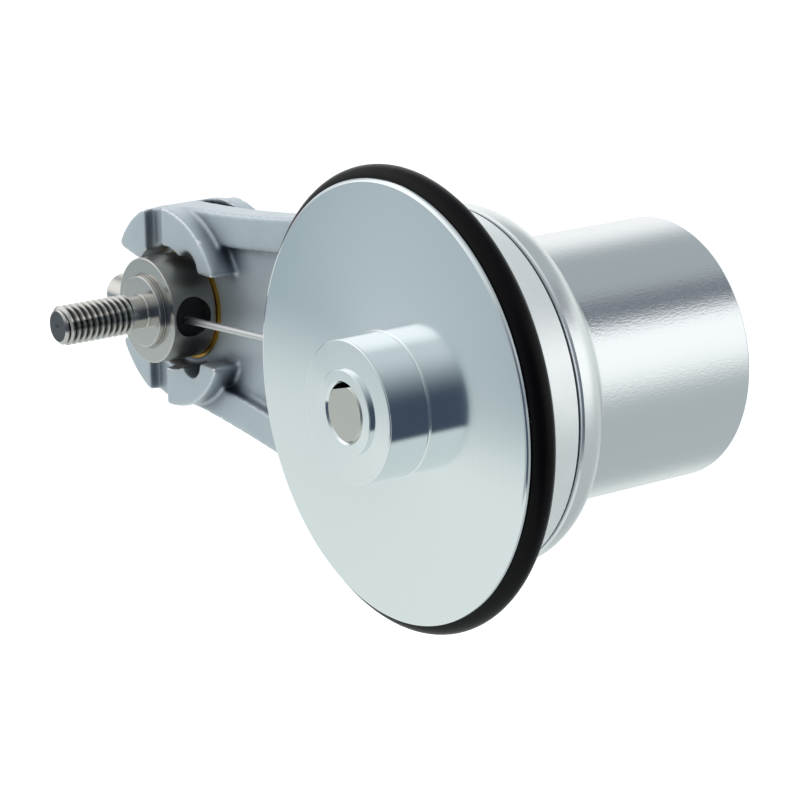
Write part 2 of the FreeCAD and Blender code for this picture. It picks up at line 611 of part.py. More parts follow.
def bearing_rings(start_y):
    """Outer ring, inner ring and balls of one deep-groove bearing."""
    end_y = start_y + BEARING_WIDTH
    ball_circle = (BEARING_INNER_LAND + BEARING_OUTER_LAND) / 2.0
    middle_y = start_y + BEARING_WIDTH / 2.0
    centre = vector(ARM_LENGTH, middle_y, 0)
    race = Part.makeTorus(ball_circle, BALL_RADIUS + BALL_PLAY, centre, vector(0, 1, 0))
    outer = tube(BEARING_RADIUS, BEARING_OUTER_LAND, start_y, end_y, ARM_LENGTH).cut(race)
    inner = tube(BEARING_INNER_LAND, SHAFT_RADIUS + PRESS, start_y, end_y, ARM_LENGTH).cut(race)
    angles = [360.0 * index / BALL_COUNT for index in range(BALL_COUNT)]
    places = circle_places(ball_circle, angles, ARM_LENGTH)
    balls = [Part.makeSphere(BALL_RADIUS, vector(x, middle_y, z)) for x, z in places]
    return outer, inner, Part.makeCompound(balls)


def bearing_spacer():
    start_y = FRONT_BEARING_Y + BEARING_WIDTH
    return tube(SPACER_RADIUS, SHAFT_RADIUS + PRESS, start_y, REAR_BEARING_Y, ARM_LENGTH)


def bearing_ring():
    """Snap ring in the housing, behind the rear bearing."""
    end_y = BEARING_RING_Y + BEARING_RING_THICKNESS
    outer = BEARING_RADIUS + BEARING_RING_GROOVE
    return tube(outer, BEARING_RING_INNER, BEARING_RING_Y, end_y, ARM_LENGTH)


# Encoder body

def encoder_flange():
    """Flange with a centring collar, a round shoulder, the bearing housing and the board's posts."""
    seat = BEARING_RADIUS + PRESS
    land = BEARING_OUTER_LAND
    ring_groove = BEARING_RADIUS + BEARING_RING_GROOVE + PRESS
    ring_end_y = BEARING_RING_Y + BEARING_RING_THICKNESS + END_PLAY
    flange = lathe([
        (seat, COLLAR_Y),
        (COLLAR_RADIUS, COLLAR_Y),
        (COLLAR_RADIUS, FLANGE_Y),
        (FLANGE_RADIUS - FLANGE_CHAMFER, FLANGE_Y),
        (FLANGE_RADIUS, FLANGE_Y + FLANGE_CHAMFER),
        (FLANGE_RADIUS, SHOULDER_Y),
        (CAN_RADIUS, NECK_Y),
        (CAN_RADIUS, CAN_Y),
        (SPIGOT_RADIUS, CAN_Y),
        (SPIGOT_RADIUS, SPIGOT_END_Y),
        (CAVITY_RADIUS, SPIGOT_END_Y),
        (CAVITY_RADIUS, CAVITY_Y),
        (COLLAR_RADIUS, CAVITY_Y),
        (COLLAR_RADIUS, HOUSING_END_Y),
        (seat, HOUSING_END_Y),
        (seat, ring_end_y),
        (ring_groove, ring_end_y),
        (ring_groove, BEARING_RING_Y),
        (seat, BEARING_RING_Y),
        (seat, REAR_BEARING_Y),
        (land, REAR_BEARING_Y),
        (land, FRONT_BEARING_Y + BEARING_WIDTH),
        (seat, FRONT_BEARING_Y + BEARING_WIDTH),
    ], ARM_LENGTH)
    flange = rounded(flange, SHOULDER_ROUND, lambda place: abs(place.y - SHOULDER_Y) < SAME_PLACE)
    flange = rounded(flange, NECK_ROUND, lambda place: abs(place.y - NECK_Y) < SAME_PLACE)
    posts = []
    holes = [seal_ring(PRESS)]
    for x, z in circle_places(POST_CIRCLE, POST_ANGLES, ARM_LENGTH):
        posts.append(rod(POST_RADIUS, CAVITY_Y, BOARD_Y, x, z))
        holes.append(rod(BOARD_SCREW_RADIUS + PRESS, BOARD_Y - BOARD_SCREW_GRIP, BOARD_Y, x, z))
    for x, z in circle_places(FLANGE_SCREW_CIRCLE, FLANGE_SCREW_ANGLES, ARM_LENGTH):
        holes.append(rod(FLANGE_SCREW_RADIUS + PRESS, FLANGE_Y, FLANGE_Y + FLANGE_SCREW_GRIP + PRESS, x, z))
    return flange.fuse(posts).cut(holes)


def seal_ring(play):
    """The can's seal ring, made larger all round by a play."""
    outer = CAN_INNER_RADIUS - PRESS
    half = CAN_SEAL_SECTION / 2.0 + play
    middle_y = CAN_Y + CAN_SEAL_SETBACK
    return tube(outer + play, outer - CAN_SEAL_SECTION - play, middle_y - half, middle_y + half, ARM_LENGTH)


def flange_gasket():
    outer = FLANGE_RADIUS - GASKET_INSET
    gasket = tube(outer, COLLAR_RADIUS + RUNNING, ARM_REAR_Y, FLANGE_Y, ARM_LENGTH)
    holes = []
    for x, z in circle_places(FLANGE_SCREW_CIRCLE, FLANGE_SCREW_ANGLES, ARM_LENGTH):
        holes.append(rod(FLANGE_SCREW_RADIUS + SCREW_PLAY, ARM_REAR_Y, FLANGE_Y, x, z))
    return gasket.cut(holes)


def flange_screws():
    screws = []
    head_y = ARM_FRONT_Y + FLANGE_SCREW_HEAD
    for x, z in circle_places(FLANGE_SCREW_CIRCLE, FLANGE_SCREW_ANGLES, ARM_LENGTH):
        head = rod(FLANGE_SCREW_HEAD_RADIUS, ARM_FRONT_Y, head_y, x, z)
        shank = rod(FLANGE_SCREW_RADIUS, head_y, FLANGE_Y + FLANGE_SCREW_GRIP, x, z)
        socket = hex_prism(FLANGE_SCREW_KEY, vector(x, ARM_FRONT_Y, z), vector(0, 1, 0), FLANGE_SCREW_SOCKET)
        screws.append(head.fuse(shank).cut(socket))
    return Part.makeCompound(screws)


def encoder_can():
    """Drawn can, closed at the end, with the connector's hole in its side."""
    inner_end_y = CAN_END_Y - CAN_WALL
    turn = 1.0 - math.sqrt(0.5)
    can = lathe([
        (0, inner_end_y),
        (CAN_INNER_RADIUS, inner_end_y),
        (CAN_INNER_RADIUS, CAN_Y),
        (CAN_RADIUS, CAN_Y),
        (CAN_RADIUS, CAN_END_Y - CAN_EDGE_ROUND),
        (CAN_RADIUS - CAN_EDGE_ROUND, CAN_END_Y,
         (CAN_RADIUS - turn * CAN_EDGE_ROUND, CAN_END_Y - turn * CAN_EDGE_ROUND)),
        (0, CAN_END_Y),
    ], ARM_LENGTH)
    return can.cut(side_rod(CONNECTOR_NECK_RADIUS + RUNNING, 0, COLLAR_REACH_END, CONNECTOR_Y))


def shaft_seal():
    return tube(BEARING_RADIUS, SHAFT_RADIUS + RUNNING, SEAL_Y, SEAL_Y + SEAL_WIDTH, ARM_LENGTH)


# Optics and circuit board

def code_disc_hub():
    return tube(DISC_HUB_RADIUS, SHAFT_RADIUS + PRESS, DISC_HUB_Y, DISC_Y, ARM_LENGTH)


def code_disc():
    return tube(DISC_RADIUS, SHAFT_RADIUS + PRESS, DISC_Y, DISC_CLAMP_Y, ARM_LENGTH)


def disc_clamp():
    end_y = DISC_CLAMP_Y + DISC_CLAMP_THICKNESS
    return tube(DISC_HUB_RADIUS, SHAFT_RADIUS + PRESS, DISC_CLAMP_Y, end_y, ARM_LENGTH)


def light_source():
    return rod(LIGHT_RADIUS, HOUSING_END_Y, HOUSING_END_Y + LIGHT_LENGTH, ARM_LENGTH, TRACK_RADIUS)


def sensor_chip():
    half = SENSOR_SIZE / 2.0
    low = (ARM_LENGTH - half, BOARD_Y - SENSOR_THICKNESS, TRACK_RADIUS - half)
    return box(low, (ARM_LENGTH + half, BOARD_Y, TRACK_RADIUS + half))


def circuit_board():
    board = rod(BOARD_RADIUS, BOARD_Y, BOARD_REAR_Y, ARM_LENGTH)
    holes = []
    for x, z in circle_places(POST_CIRCLE, POST_ANGLES, ARM_LENGTH):
        holes.append(rod(BOARD_SCREW_RADIUS + SCREW_PLAY, BOARD_Y, BOARD_REAR_Y, x, z))
    return board.cut(holes)


def board_screws():
    screws = []
    for x, z in circle_places(POST_CIRCLE, POST_ANGLES, ARM_LENGTH):
        shank = rod(BOARD_SCREW_RADIUS, BOARD_Y - BOARD_SCREW_GRIP + PRESS, BOARD_REAR_Y, x, z)
        head = rod(BOARD_SCREW_HEAD_RADIUS, BOARD_REAR_Y, BOARD_REAR_Y + BOARD_SCREW_HEAD, x, z)
        screws.append(shank.fuse(head))
    return Part.makeCompound(screws)


# Connector

def connector_shell():
    """Threaded M12 barrel with a collar that sits on the can through a gasket."""
    neck = side_rod(CONNECTOR_NECK_RADIUS, NECK_END_REACH, COLLAR_REACH_END, CONNECTOR_Y)
    collar = side_rod(CONNECTOR_COLLAR_RADIUS, NECK_END_REACH, COLLAR_REACH_END, CONNECTOR_Y)
    collar = collar.cut(rod(CAN_RADIUS + CONNECTOR_GASKET, CAN_Y, CAN_END_Y, ARM_LENGTH))
    barrel = side_rod(CONNECTOR_RADIUS, COLLAR_REACH_END, MOUTH_REACH, CONNECTOR_Y)
    mouth = side_rod(CONNECTOR_BORE, COLLAR_REACH_END, MOUTH_REACH, CONNECTOR_Y)
    stem = side_rod(INSERT_STEM_RADIUS + PRESS, NECK_END_REACH, COLLAR_REACH_END, CONNECTOR_Y)
    return neck.fuse([collar, barrel]).cut([mouth, stem]).removeSplitter()


def connector_gasket():
    blank = side_rod(CONNECTOR_COLLAR_RADIUS, NECK_END_REACH, COLLAR_REACH_END, CONNECTOR_Y)
    hole = side_rod(CONNECTOR_NECK_RADIUS + RUNNING, 0, COLLAR_REACH_END, CONNECTOR_Y)
    layer = tube(CAN_RADIUS + CONNECTOR_GASKET, CAN_RADIUS, CAN_Y, CAN_END_Y, ARM_LENGTH)
    return blank.common(layer).cut(hole)


def connector_nut():
    base = vector(ARM_LENGTH - NUT_REACH + CONNECTOR_NUT, CONNECTOR_Y, 0)
    nut = hex_prism(CONNECTOR_NUT_FLATS, base, vector(-1, 0, 0), CONNECTOR_NUT)
    return nut.cut(side_rod(CONNECTOR_NECK_RADIUS + PRESS, 0, CAN_RADIUS, CONNECTOR_Y))


def pin_places():
    angles = [360.0 * index / PIN_COUNT for index in range(PIN_COUNT)]
    return [(0.0, 0.0)] + circle_places(PIN_CIRCLE, angles)


def connector_pin(place, radius):
    start = NECK_END_REACH - PIN_TAIL
    return side_rod(radius, start, MOUTH_REACH - PIN_SINK, CONNECTOR_Y + place[0], place[1])


def connector_insert():
    """Moulded insert that holds the contact pins."""
    stem = side_rod(INSERT_STEM_RADIUS, NECK_END_REACH, COLLAR_REACH_END, CONNECTOR_Y)
    plate = side_rod(CONNECTOR_BORE - PRESS, COLLAR_REACH_END, COLLAR_REACH_END + INSERT_PLATE, CONNECTOR_Y)
    return stem.fuse(plate).cut([connector_pin(place, PIN_RADIUS + PRESS) for place in pin_places()])


def connector_pins():
    return Part.makeCompound([connector_pin(place, PIN_RADIUS) for place in pin_places()])


def ribbon_lead():
    """Flat lead that rises from the circuit board to the connector's pin tails."""
    half = LEAD_WIDTH / 2.0
    outer_x = ARM_LENGTH - NECK_END_REACH + PIN_TAIL
    low = (outer_x, BOARD_REAR_Y, -half)
    return box(low, (outer_x + LEAD_THICKNESS, CONNECTOR_Y + half, half))


def build():
    """Every piece of the assembly by its name."""
    pieces = {
        "pivot_spindle": pivot_spindle(),
        "spring_holder": spring_holder(),
        "wire_sleeve": wire_sleeve(),
        "holder_grub_screw": holder_grub_screw(),
        "spring_wire": spring_wire(),
        "pivot_washer": tube(WASHER_RADIUS, JOURNAL_RADIUS + RUNNING, WASHER_Y, WASHER_Y + WASHER_THICKNESS),
        "pivot_circlip": pivot_circlip(),
        "spring_arm": spring_arm(),
        "front_pivot_bush": pivot_bush(BUSH_FLANGE_RADIUS, WEB_FRONT_Y, 1),
        "rear_pivot_bush": pivot_bush(REAR_BUSH_FLANGE_RADIUS, REAR_BOSS_Y, -1),
        "flange_screws": flange_screws(),
        "flange_gasket": flange_gasket(),
        "encoder_flange": encoder_flange(),
        "encoder_can": encoder_can(),
        "can_seal": seal_ring(0.0),
        "shaft_seal": shaft_seal(),
        "bearing_circlip": bearing_ring(),
        "circuit_board": circuit_board(),
        "board_screws": board_screws(),
        "light_source": light_source(),
        "sensor_chip": sensor_chip(),
        "connector_shell": connector_shell(),
        "connector_gasket": connector_gasket(),
        "connector_nut": connector_nut(),
        "connector_insert": connector_insert(),
        "connector_pins": connector_pins(),
        "ribbon_lead": ribbon_lead(),
        "measuring_wheel": measuring_wheel(),
        "tyre": tyre(),
        "encoder_shaft": encoder_shaft(),
        "wheel_set_screw": wheel_set_screw(),
        "bearing_spacer": bearing_spacer(),
        "code_disc_hub": code_disc_hub(),
        "code_disc": code_disc(),
        "disc_clamp": disc_clamp(),
    }
    for side, start_y in (("front", FRONT_BEARING_Y), ("rear", REAR_BEARING_Y)):
        outer, inner, balls = bearing_rings(start_y)
        pieces[side + "_bearing_outer"] = outer
        pieces[side + "_bearing_inner"] = inner
        pieces[side + "_bearing_balls"] = balls
    return pieces


os.makedirs("parts", exist_ok=True)
for name, shape in build().items():
    shape.exportStep("parts/" + name + ".step")
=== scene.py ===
import json
import math

import bmesh
import bpy
from mathutils import Matrix, Vector


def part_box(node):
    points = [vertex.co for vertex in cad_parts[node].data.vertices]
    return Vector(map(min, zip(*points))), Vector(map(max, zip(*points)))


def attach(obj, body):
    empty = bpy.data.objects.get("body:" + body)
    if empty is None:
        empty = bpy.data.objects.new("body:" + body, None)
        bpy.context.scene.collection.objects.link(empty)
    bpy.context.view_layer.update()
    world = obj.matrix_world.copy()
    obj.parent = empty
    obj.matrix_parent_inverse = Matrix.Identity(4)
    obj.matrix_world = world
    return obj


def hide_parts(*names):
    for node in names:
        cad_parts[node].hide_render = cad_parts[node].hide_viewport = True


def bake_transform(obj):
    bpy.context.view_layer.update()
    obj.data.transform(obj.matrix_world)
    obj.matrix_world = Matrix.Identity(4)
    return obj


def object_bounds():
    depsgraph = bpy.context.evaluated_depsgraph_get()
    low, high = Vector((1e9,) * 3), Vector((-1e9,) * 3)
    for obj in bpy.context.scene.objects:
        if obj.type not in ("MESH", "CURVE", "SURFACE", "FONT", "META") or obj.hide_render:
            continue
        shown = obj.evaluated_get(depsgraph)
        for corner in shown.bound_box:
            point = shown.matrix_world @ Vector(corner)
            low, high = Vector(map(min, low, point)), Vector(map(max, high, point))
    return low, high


# Looks of the measuring wheel encoder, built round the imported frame. Lengths are in metres.

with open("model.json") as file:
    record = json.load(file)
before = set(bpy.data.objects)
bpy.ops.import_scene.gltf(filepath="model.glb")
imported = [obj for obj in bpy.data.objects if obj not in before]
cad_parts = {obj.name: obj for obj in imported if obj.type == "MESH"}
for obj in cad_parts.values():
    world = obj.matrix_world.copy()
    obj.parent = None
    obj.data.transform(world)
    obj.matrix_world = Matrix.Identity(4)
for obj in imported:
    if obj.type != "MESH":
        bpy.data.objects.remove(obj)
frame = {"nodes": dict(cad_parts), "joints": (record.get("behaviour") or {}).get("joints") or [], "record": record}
cad_low, cad_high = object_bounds()
nodes = frame["nodes"]
joints = {joint["name"]: joint for joint in frame["joints"]}

MM = 0.001

# Camera, at the photograph's viewing angle
CAMERA_PLACE = (0.37064, -0.21831, 0.10837)
CAMERA_RIGHT = (0.5859, 0.8103, -0.0128)
CAMERA_UP = (-0.2159, 0.1713, 0.9613)
CAMERA_LENS_MM = 132.56
CAMERA_SENSOR_MM = 36.0

# Floor
FLOOR_DROP = 60 * MM            # below the object's lowest point
FLOOR_SIZE = 6.0

# Studio: a surround, and soft cards in it, later ones over earlier ones
STUDIO_BASE = ("#B9C0C3", 0.95)                             # colour, strength
STUDIO_CARDS = (            # direction, half angle and soft edge in degrees, colour, strength
    ((-0.80, -0.55, -0.22), 9, 14, "#8C9FA9", 0.95),        # grey in the disc's upper half
    ((-0.785, -0.567, -0.235), 1, 3.5, "#C2CED3", 0.95),    # paler glow above the hub
    ((0.025, 0.408, -0.913), 89, 2, "#EDF3F1", 1.0),        # pale table under everything
    ((0.33, 0.63, -0.70), 24, 30, "#C4CACC", 0.97),         # grey low on the can
    ((0.698, 0.63, 0.341), 4, 32, "#FFFFFF", 1.28),         # bright band along the can
    ((0.42, 0.63, 0.65), 2, 13, "#787D87", 1.0),            # dark streak above that band
    ((-0.35, -0.56, 0.75), 5, 48, "#F4F9FB", 0.92),         # pale upper side of the hub
    ((-0.717, -0.56, 0.414), 9, 28, "#FFFFFF", 1.35),       # bright line on top of the hub
    ((0.81, -0.56, -0.17), 15, 45, "#454E5E", 1.2),         # dark side of the hub
    ((0.215, -0.56, -0.80), 22, 8, "#EDF3F1", 1.0),         # pale underside of the hub
    ((-0.80, 0.50, 0.30), 0, 34, "#FFFFFF", 1.12),          # bright top of the can
)
LAMP_POWER = 22
LAMP_SIZE = 1.6
LAMP_HEIGHT = 1.4

# Places read from the frame
WHEEL_X = joints["wheel_spin"]["pos_m"][0]
SPINDLE_LOW, SPINDLE_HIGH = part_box("pivot_spindle")
WHEEL_LOW, WHEEL_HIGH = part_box("measuring_wheel")
ARM_LOW, ARM_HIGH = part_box("spring_arm")
WIRE_LOW, WIRE_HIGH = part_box("spring_wire")
SHELL_LOW, SHELL_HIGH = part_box("connector_shell")
CAN_LOW, CAN_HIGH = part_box("encoder_can")
CAN_RADIUS = CAN_HIGH.x - WHEEL_X
CONNECTOR_Y = (SHELL_LOW.y + SHELL_HIGH.y) / 2
WIRE_Y = (WIRE_LOW.y + WIRE_HIGH.y) / 2

# Turned pieces
TURN_STEPS = 192                # round a full turn
CAST_STEPS = 72                 # round a full turn of the casting, before it is softened
CORNER_STEPS = 3                # round a softened corner
EDGE_BREAK = 0.12 * MM          # broken edge of a turned piece
EDGE_STEPS = 2                  # across a broken edge
BREAK_ANGLE = math.radians(30)  # edges sharper than this are broken
SHARP_ANGLE = math.radians(12)  # faces that meet at more than this are shaded apart
FLAT_WEIGHT = 100               # how far large faces outweigh small ones in shading
SIDE_LEAN = 0.5                 # a face whose normal has less than this along Y is a side
SLIP = 0.02 * MM                # overlap of two shells that are joined into one
MERGE_DISTANCE = 0.001 * MM     # points nearer than this are one

# Spring arm
HUB_RADIUS = 15.2 * MM
RING_RADIUS = 25.0 * MM
SIDE_RADIUS = 300.0 * MM        # hollow curve of the arm's two sides
SIDE_STEPS = 40
ARM_FRONT_Y = 7.3 * MM
ARM_REAR_Y = 12.3 * MM
WEB_RECESS = 1.55 * MM
RIB_WIDTH = 5.2 * MM
CROWN_FRONT_Y = 4.4 * MM
CROWN_BORE = 9.45 * MM
NEAR_GAP_HALF = 6.8 * MM
FAR_GAP_HALF = 4.5 * MM         # at the pivot axis
FAR_GAP_SLOPE = math.radians(12)
MERLON_CORNER = 1.0 * MM
NOTCH_WIDTH = 4.7 * MM
NOTCH_X = -2.95 * MM
NOTCH_DEPTH = 1.5 * MM
SCALLOP_RADIUS = 2.6 * MM
SCALLOP_X = 6.4 * MM
SCALLOP_Z = 7.0 * MM
WINDOW_START_X = -3.9 * MM      # recess in the rear crown's outside
WINDOW_END_X = 9.5 * MM
WINDOW_WIDTH = 2.7 * MM
WINDOW_FLOOR_Z = 12.5 * MM
REAR_BOSS_RADIUS = 8.5 * MM
REAR_BOSS_Y = 13.4 * MM
BUSH_BORE = 6.52 * MM
COLLAR_BORE = 10.05 * MM
SCREW_CIRCLE = 15.0 * MM
SCREW_HOLE = 1.7 * MM
SCREW_HEAD_HOLE = 2.95 * MM
SCREW_HEAD_DEPTH = 2.0 * MM
SCREW_ANGLES = (60, 180, 300)
SEAT_X = 27.6 * MM
SEAT_LENGTH = 3.0 * MM
SEAT_WIDTH = 5.0 * MM
SEAT_SLOT_HALF = 0.6 * MM
SEAT_EDGE = 0.3 * MM
RING_OVERLAP = 0.4 * MM         # of the casting and the encoder's ring
CAST_GRID = 0.28 * MM           # mesh size that carries the casting's soft edges
CAST_SOFTENING = 8              # smoothing passes over the casting
CAST_SMOOTHING = 0.5            # strength of each pass

# Seal edge that shows in the seam, on the flange's 45 degree chamfer
SEAM_FOOT = 24.33 * MM
SEAM_RADIUS = 24.95 * MM
SEAM_LOW_Y = 12.62 * MM
SEAM_HIGH_Y = 12.9 * MM
SEAM_EDGE = 0.05 * MM

# Measuring wheel
WHEEL_FACE_Y = -0.3 * MM
HUB_FRONT_Y = -6.7 * MM
WHEEL_HUB_RADIUS = 9.8 * MM
WHEEL_HUB_FILLET = 0.25 * MM    # between the hub and the disc
WHEEL_HUB_EDGE = 0.2 * MM
LIP_RADIUS = 5.85 * MM
WHEEL_BORE = 4.02 * MM
BORE_CHAMFER = 0.3 * MM
RIM_EDGE = 0.5 * MM
GROOVE_RADIUS = 28.31 * MM
GROOVE_FRONT_Y = 0.38 * MM
GROOVE_REAR_Y = 3.92 * MM
SET_SCREW_HOLE = 2.02 * MM
SET_SCREW_Y = -2.3 * MM

# Pivot spindle
BOSS_RADIUS = 5.4 * MM
BOSS_HEIGHT = 1.05 * MM
DRUM_REAR_Y = 8.35 * MM
DRUM_EDGE = 0.2 * MM
JOURNAL_RADIUS = 5.0 * MM
CLIP_GROOVE_RADIUS = 4.6 * MM
CLIP_GROOVE_Y = 14.45 * MM
CLIP_GROOVE_WIDTH = 1.05 * MM
CROSS_HOLE_RADIUS = 3.05 * MM
HOLDER_SCREW_X = -5.2 * MM
HOLDER_SCREW_HOLE = 1.27 * MM

# Screw threads
STUD_RADIUS = 3.0 * MM
STUD_PITCH = 1.0 * MM
STUD_NECK_RADIUS = 2.45 * MM
STUD_NECK = 2.6 * MM            # plain neck next to the seat boss
STUD_CHAMFER = 0.7 * MM
NECK_FILLET = 0.3 * MM
CENTRE_DRILL_RADIUS = 0.6 * MM
CENTRE_DRILL_DEPTH = 0.5 * MM
THREAD_DEPTH = 0.58             # part of the pitch
THREAD_STEPS = 72
THREAD_SPARE = 2                # more turns than fit, cut off at both ends
THREAD_LEAD = 1.5               # pitches that the first turn starts before the end
# Place along one pitch, and the height there
THREAD_FORM = ((0.0, 0.0), (0.16, 0.0), (0.5, 1.0), (0.66, 1.0))

# Spring wire
WIRE_RADIUS = 0.55 * MM
WIRE_RISE = math.radians(4.2)
WIRE_OFFSET = 1.18 * MM         # its line passes this far below the pivot axis
WIRE_SEGMENTS = 20
WIRE_CUTS = 60

# Encoder can
CAN_WALL = 1.0 * MM
CAN_EDGE_ROUND = 0.4 * MM

# Connector
BARREL_RADIUS = 6.0 * MM
BARREL_PITCH = 1.0 * MM
BARREL_LENGTH = 10.0 * MM
BARREL_BORE = 4.7 * MM
BARREL_CHAMFER = 0.6 * MM
COLLAR_EDGE = 0.4 * MM
SHELL_NECK_RADIUS = 5.0 * MM
SHELL_STEM_BORE = 3.97 * MM
SHELL_GASKET = 0.6 * MM

# Places of the Mix node's sockets, which share their names
COLOUR_A, COLOUR_B, COLOUR_OUT = 6, 7, 2
NUMBER_A, NUMBER_B, NUMBER_OUT = 2, 3, 0
PAINTED_SHADE_SAMPLES = 6             # rays that feel for a recess, for the painted shade laid there
FULL_WHITE = (1, 1, 1, 1)


def linear(hex_colour):
    """An sRGB hex colour as linear RGBA."""
    channels = [int(hex_colour[place:place + 2], 16) / 255.0 for place in (1, 3, 5)]
    values = [c / 12.92 if c <= 0.04045 else ((c + 0.055) / 1.055) ** 2.4 for c in channels]
    return (*values, 1.0)


def add(tree, kind, settings=None, inputs=None):
    """Add a node with its own settings; each input is a value or the socket that feeds it."""
    node = tree.nodes.new(kind)
    for name, value in (settings or {}).items():
        setattr(node, name, value)
    for name, value in (inputs or {}).items():
        if isinstance(value, bpy.types.NodeSocket):
            tree.links.new(value, node.inputs[name])
        else:
            node.inputs[name].default_value = value
    return node


def start_material(name, **sockets):
    """A new material with one shader whose constant sockets are set."""
    material = bpy.data.materials.new(name)
    material.use_nodes = True
    tree = material.node_tree
    tree.nodes.clear()
    shader = add(tree, "ShaderNodeBsdfPrincipled")
    for socket, value in sockets.items():
        shader.inputs[socket.replace("_", " ")].default_value = value
    add(tree, "ShaderNodeOutputMaterial", inputs={"Surface": shader.outputs["BSDF"]})
    place = add(tree, "ShaderNodeTexCoord").outputs["Object"]
    return material, tree, shader, place


# Materials

def turned_aluminium():
    """Fine-turned aluminium, clear anodised: the lathe's rings smear reflections along the radius.

    The rings are drawn coarser than real ones, so that they show.
    """
    material, tree, shader, place = start_material(
        "turned_aluminium", Metallic=1.0, Base_Color=linear("#E4EAEC"),
        Anisotropic=0.9, Anisotropic_Rotation=0.25)
    centred = add(tree, "ShaderNodeMapping", inputs={"Vector": place, "Location": (-WHEEL_X, 0, 0)})
    along_rings = add(tree, "ShaderNodeVectorMath", {"operation": "CROSS_PRODUCT"}, {
        0: (0, 1, 0), 1: centred.outputs[0]})
    tangent = add(tree, "ShaderNodeVectorTransform", {
        "vector_type": "VECTOR", "convert_from": "OBJECT", "convert_to": "WORLD"}, {
        0: along_rings.outputs[0]})
    tree.links.new(tangent.outputs[0], shader.inputs["Tangent"])
    radius = add(tree, "ShaderNodeVectorMath", {"operation": "LENGTH"}, {0: along_rings.outputs[0]})
    rings = add(tree, "ShaderNodeTexNoise", {"noise_dimensions": "1D"}, {
        "W": radius.outputs["Value"], "Scale": 1 / (0.6 * MM), "Detail": 2.0})
    roughness = add(tree, "ShaderNodeMapRange", inputs={
        "Value": rings.outputs["Fac"], "To Min": 0.08, "To Max": 0.11})
    tree.links.new(roughness.outputs["Result"], shader.inputs["Roughness"])
    return material


def die_cast_aluminium():
    """Die-cast aluminium, vibratory finished: satin, with edges rubbed and given a painted highlight, and painted
    shade in recesses.

    The grain of its skin is drawn coarser than real, so that it shows.
    """
    material, tree, shader, place = start_material("die_cast_aluminium", Metallic=0.8)
    mottle = add(tree, "ShaderNodeTexNoise", inputs={
        "Vector": place, "Scale": 1 / (5 * MM), "Detail": 4.0})
    satin = add(tree, "ShaderNodeMix", {"data_type": "RGBA"}, {
        "Factor": mottle.outputs["Fac"], COLOUR_A: linear("#BCC6CD"), COLOUR_B: linear("#CDD5DA")})
    # Painted shade: the colour darkens to a dark navy where the AO finds close surfaces round a recess
    painted_shade_occlusion = add(tree, "ShaderNodeAmbientOcclusion", {
        "only_local": True, "samples": PAINTED_SHADE_SAMPLES}, {"Distance": 5 * MM})
    painted_shade_mask = add(tree, "ShaderNodeMapRange", {"interpolation_type": "SMOOTHSTEP"}, {
        "Value": painted_shade_occlusion.outputs["AO"], "From Min": 0.45, "From Max": 0.95})
    satin_with_painted_shade = add(tree, "ShaderNodeMix", {"data_type": "RGBA"}, {
        "Factor": painted_shade_mask.outputs["Result"], COLOUR_A: linear("#4E5563"),
        COLOUR_B: satin.outputs[COLOUR_OUT]})
    # Partly wear, partly painted highlight: sharp edges turn near white and glossier
    edges = add(tree, "ShaderNodeNewGeometry").outputs["Pointiness"]
    wear_and_highlight = add(tree, "ShaderNodeMapRange", {"interpolation_type": "SMOOTHSTEP"}, {
        "Value": edges, "From Min": 0.53, "From Max": 0.55, "To Max": 0.6})
    colour = add(tree, "ShaderNodeMix", {"data_type": "RGBA"}, {
        "Factor": wear_and_highlight.outputs["Result"], COLOUR_A: satin_with_painted_shade.outputs[COLOUR_OUT],
        COLOUR_B: linear("#F4F6F7")})
    tree.links.new(colour.outputs[COLOUR_OUT], shader.inputs["Base Color"])
    skin = add(tree, "ShaderNodeTexNoise", inputs={
        "Vector": place, "Scale": 1 / (0.5 * MM), "Detail": 3.0})
    satin_gloss = add(tree, "ShaderNodeMapRange", inputs={
        "Value": skin.outputs["Fac"], "To Min": 0.4, "To Max": 0.5})
    roughness = add(tree, "ShaderNodeMix", {"data_type": "FLOAT"}, {
        "Factor": wear_and_highlight.outputs["Result"], NUMBER_A: satin_gloss.outputs["Result"], NUMBER_B: 0.15})
    tree.links.new(roughness.outputs[NUMBER_OUT], shader.inputs["Roughness"])
    bump = add(tree, "ShaderNodeBump", inputs={
        "Strength": 0.06, "Distance": 0.05 * MM, "Height": skin.outputs["Fac"]})
    tree.links.new(bump.outputs["Normal"], shader.inputs["Normal"])
    return material


def blasted_aluminium():
    """Machined aluminium, fine bead blasted: pale and even, with a faint cloudiness.

    Its grit is drawn coarser than real, so that it shows.
    """
    material, tree, shader, place = start_material("blasted_aluminium", Metallic=0.75)
    clouds = add(tree, "ShaderNodeTexNoise", inputs={
        "Vector": place, "Scale": 1 / (4 * MM), "Detail": 3.0})
    colour = add(tree, "ShaderNodeMix", {"data_type": "RGBA"}, {
        "Factor": clouds.outputs["Fac"], COLOUR_A: linear("#E4E9EA"), COLOUR_B: linear("#F3F5F5")})
    tree.links.new(colour.outputs[COLOUR_OUT], shader.inputs["Base Color"])
    grit = add(tree, "ShaderNodeTexNoise", inputs={
        "Vector": place, "Scale": 1 / (0.3 * MM), "Detail": 2.0})
    roughness = add(tree, "ShaderNodeMapRange", inputs={
        "Value": grit.outputs["Fac"], "To Min": 0.36, "To Max": 0.46})
    tree.links.new(roughness.outputs["Result"], shader.inputs["Roughness"])
    return material


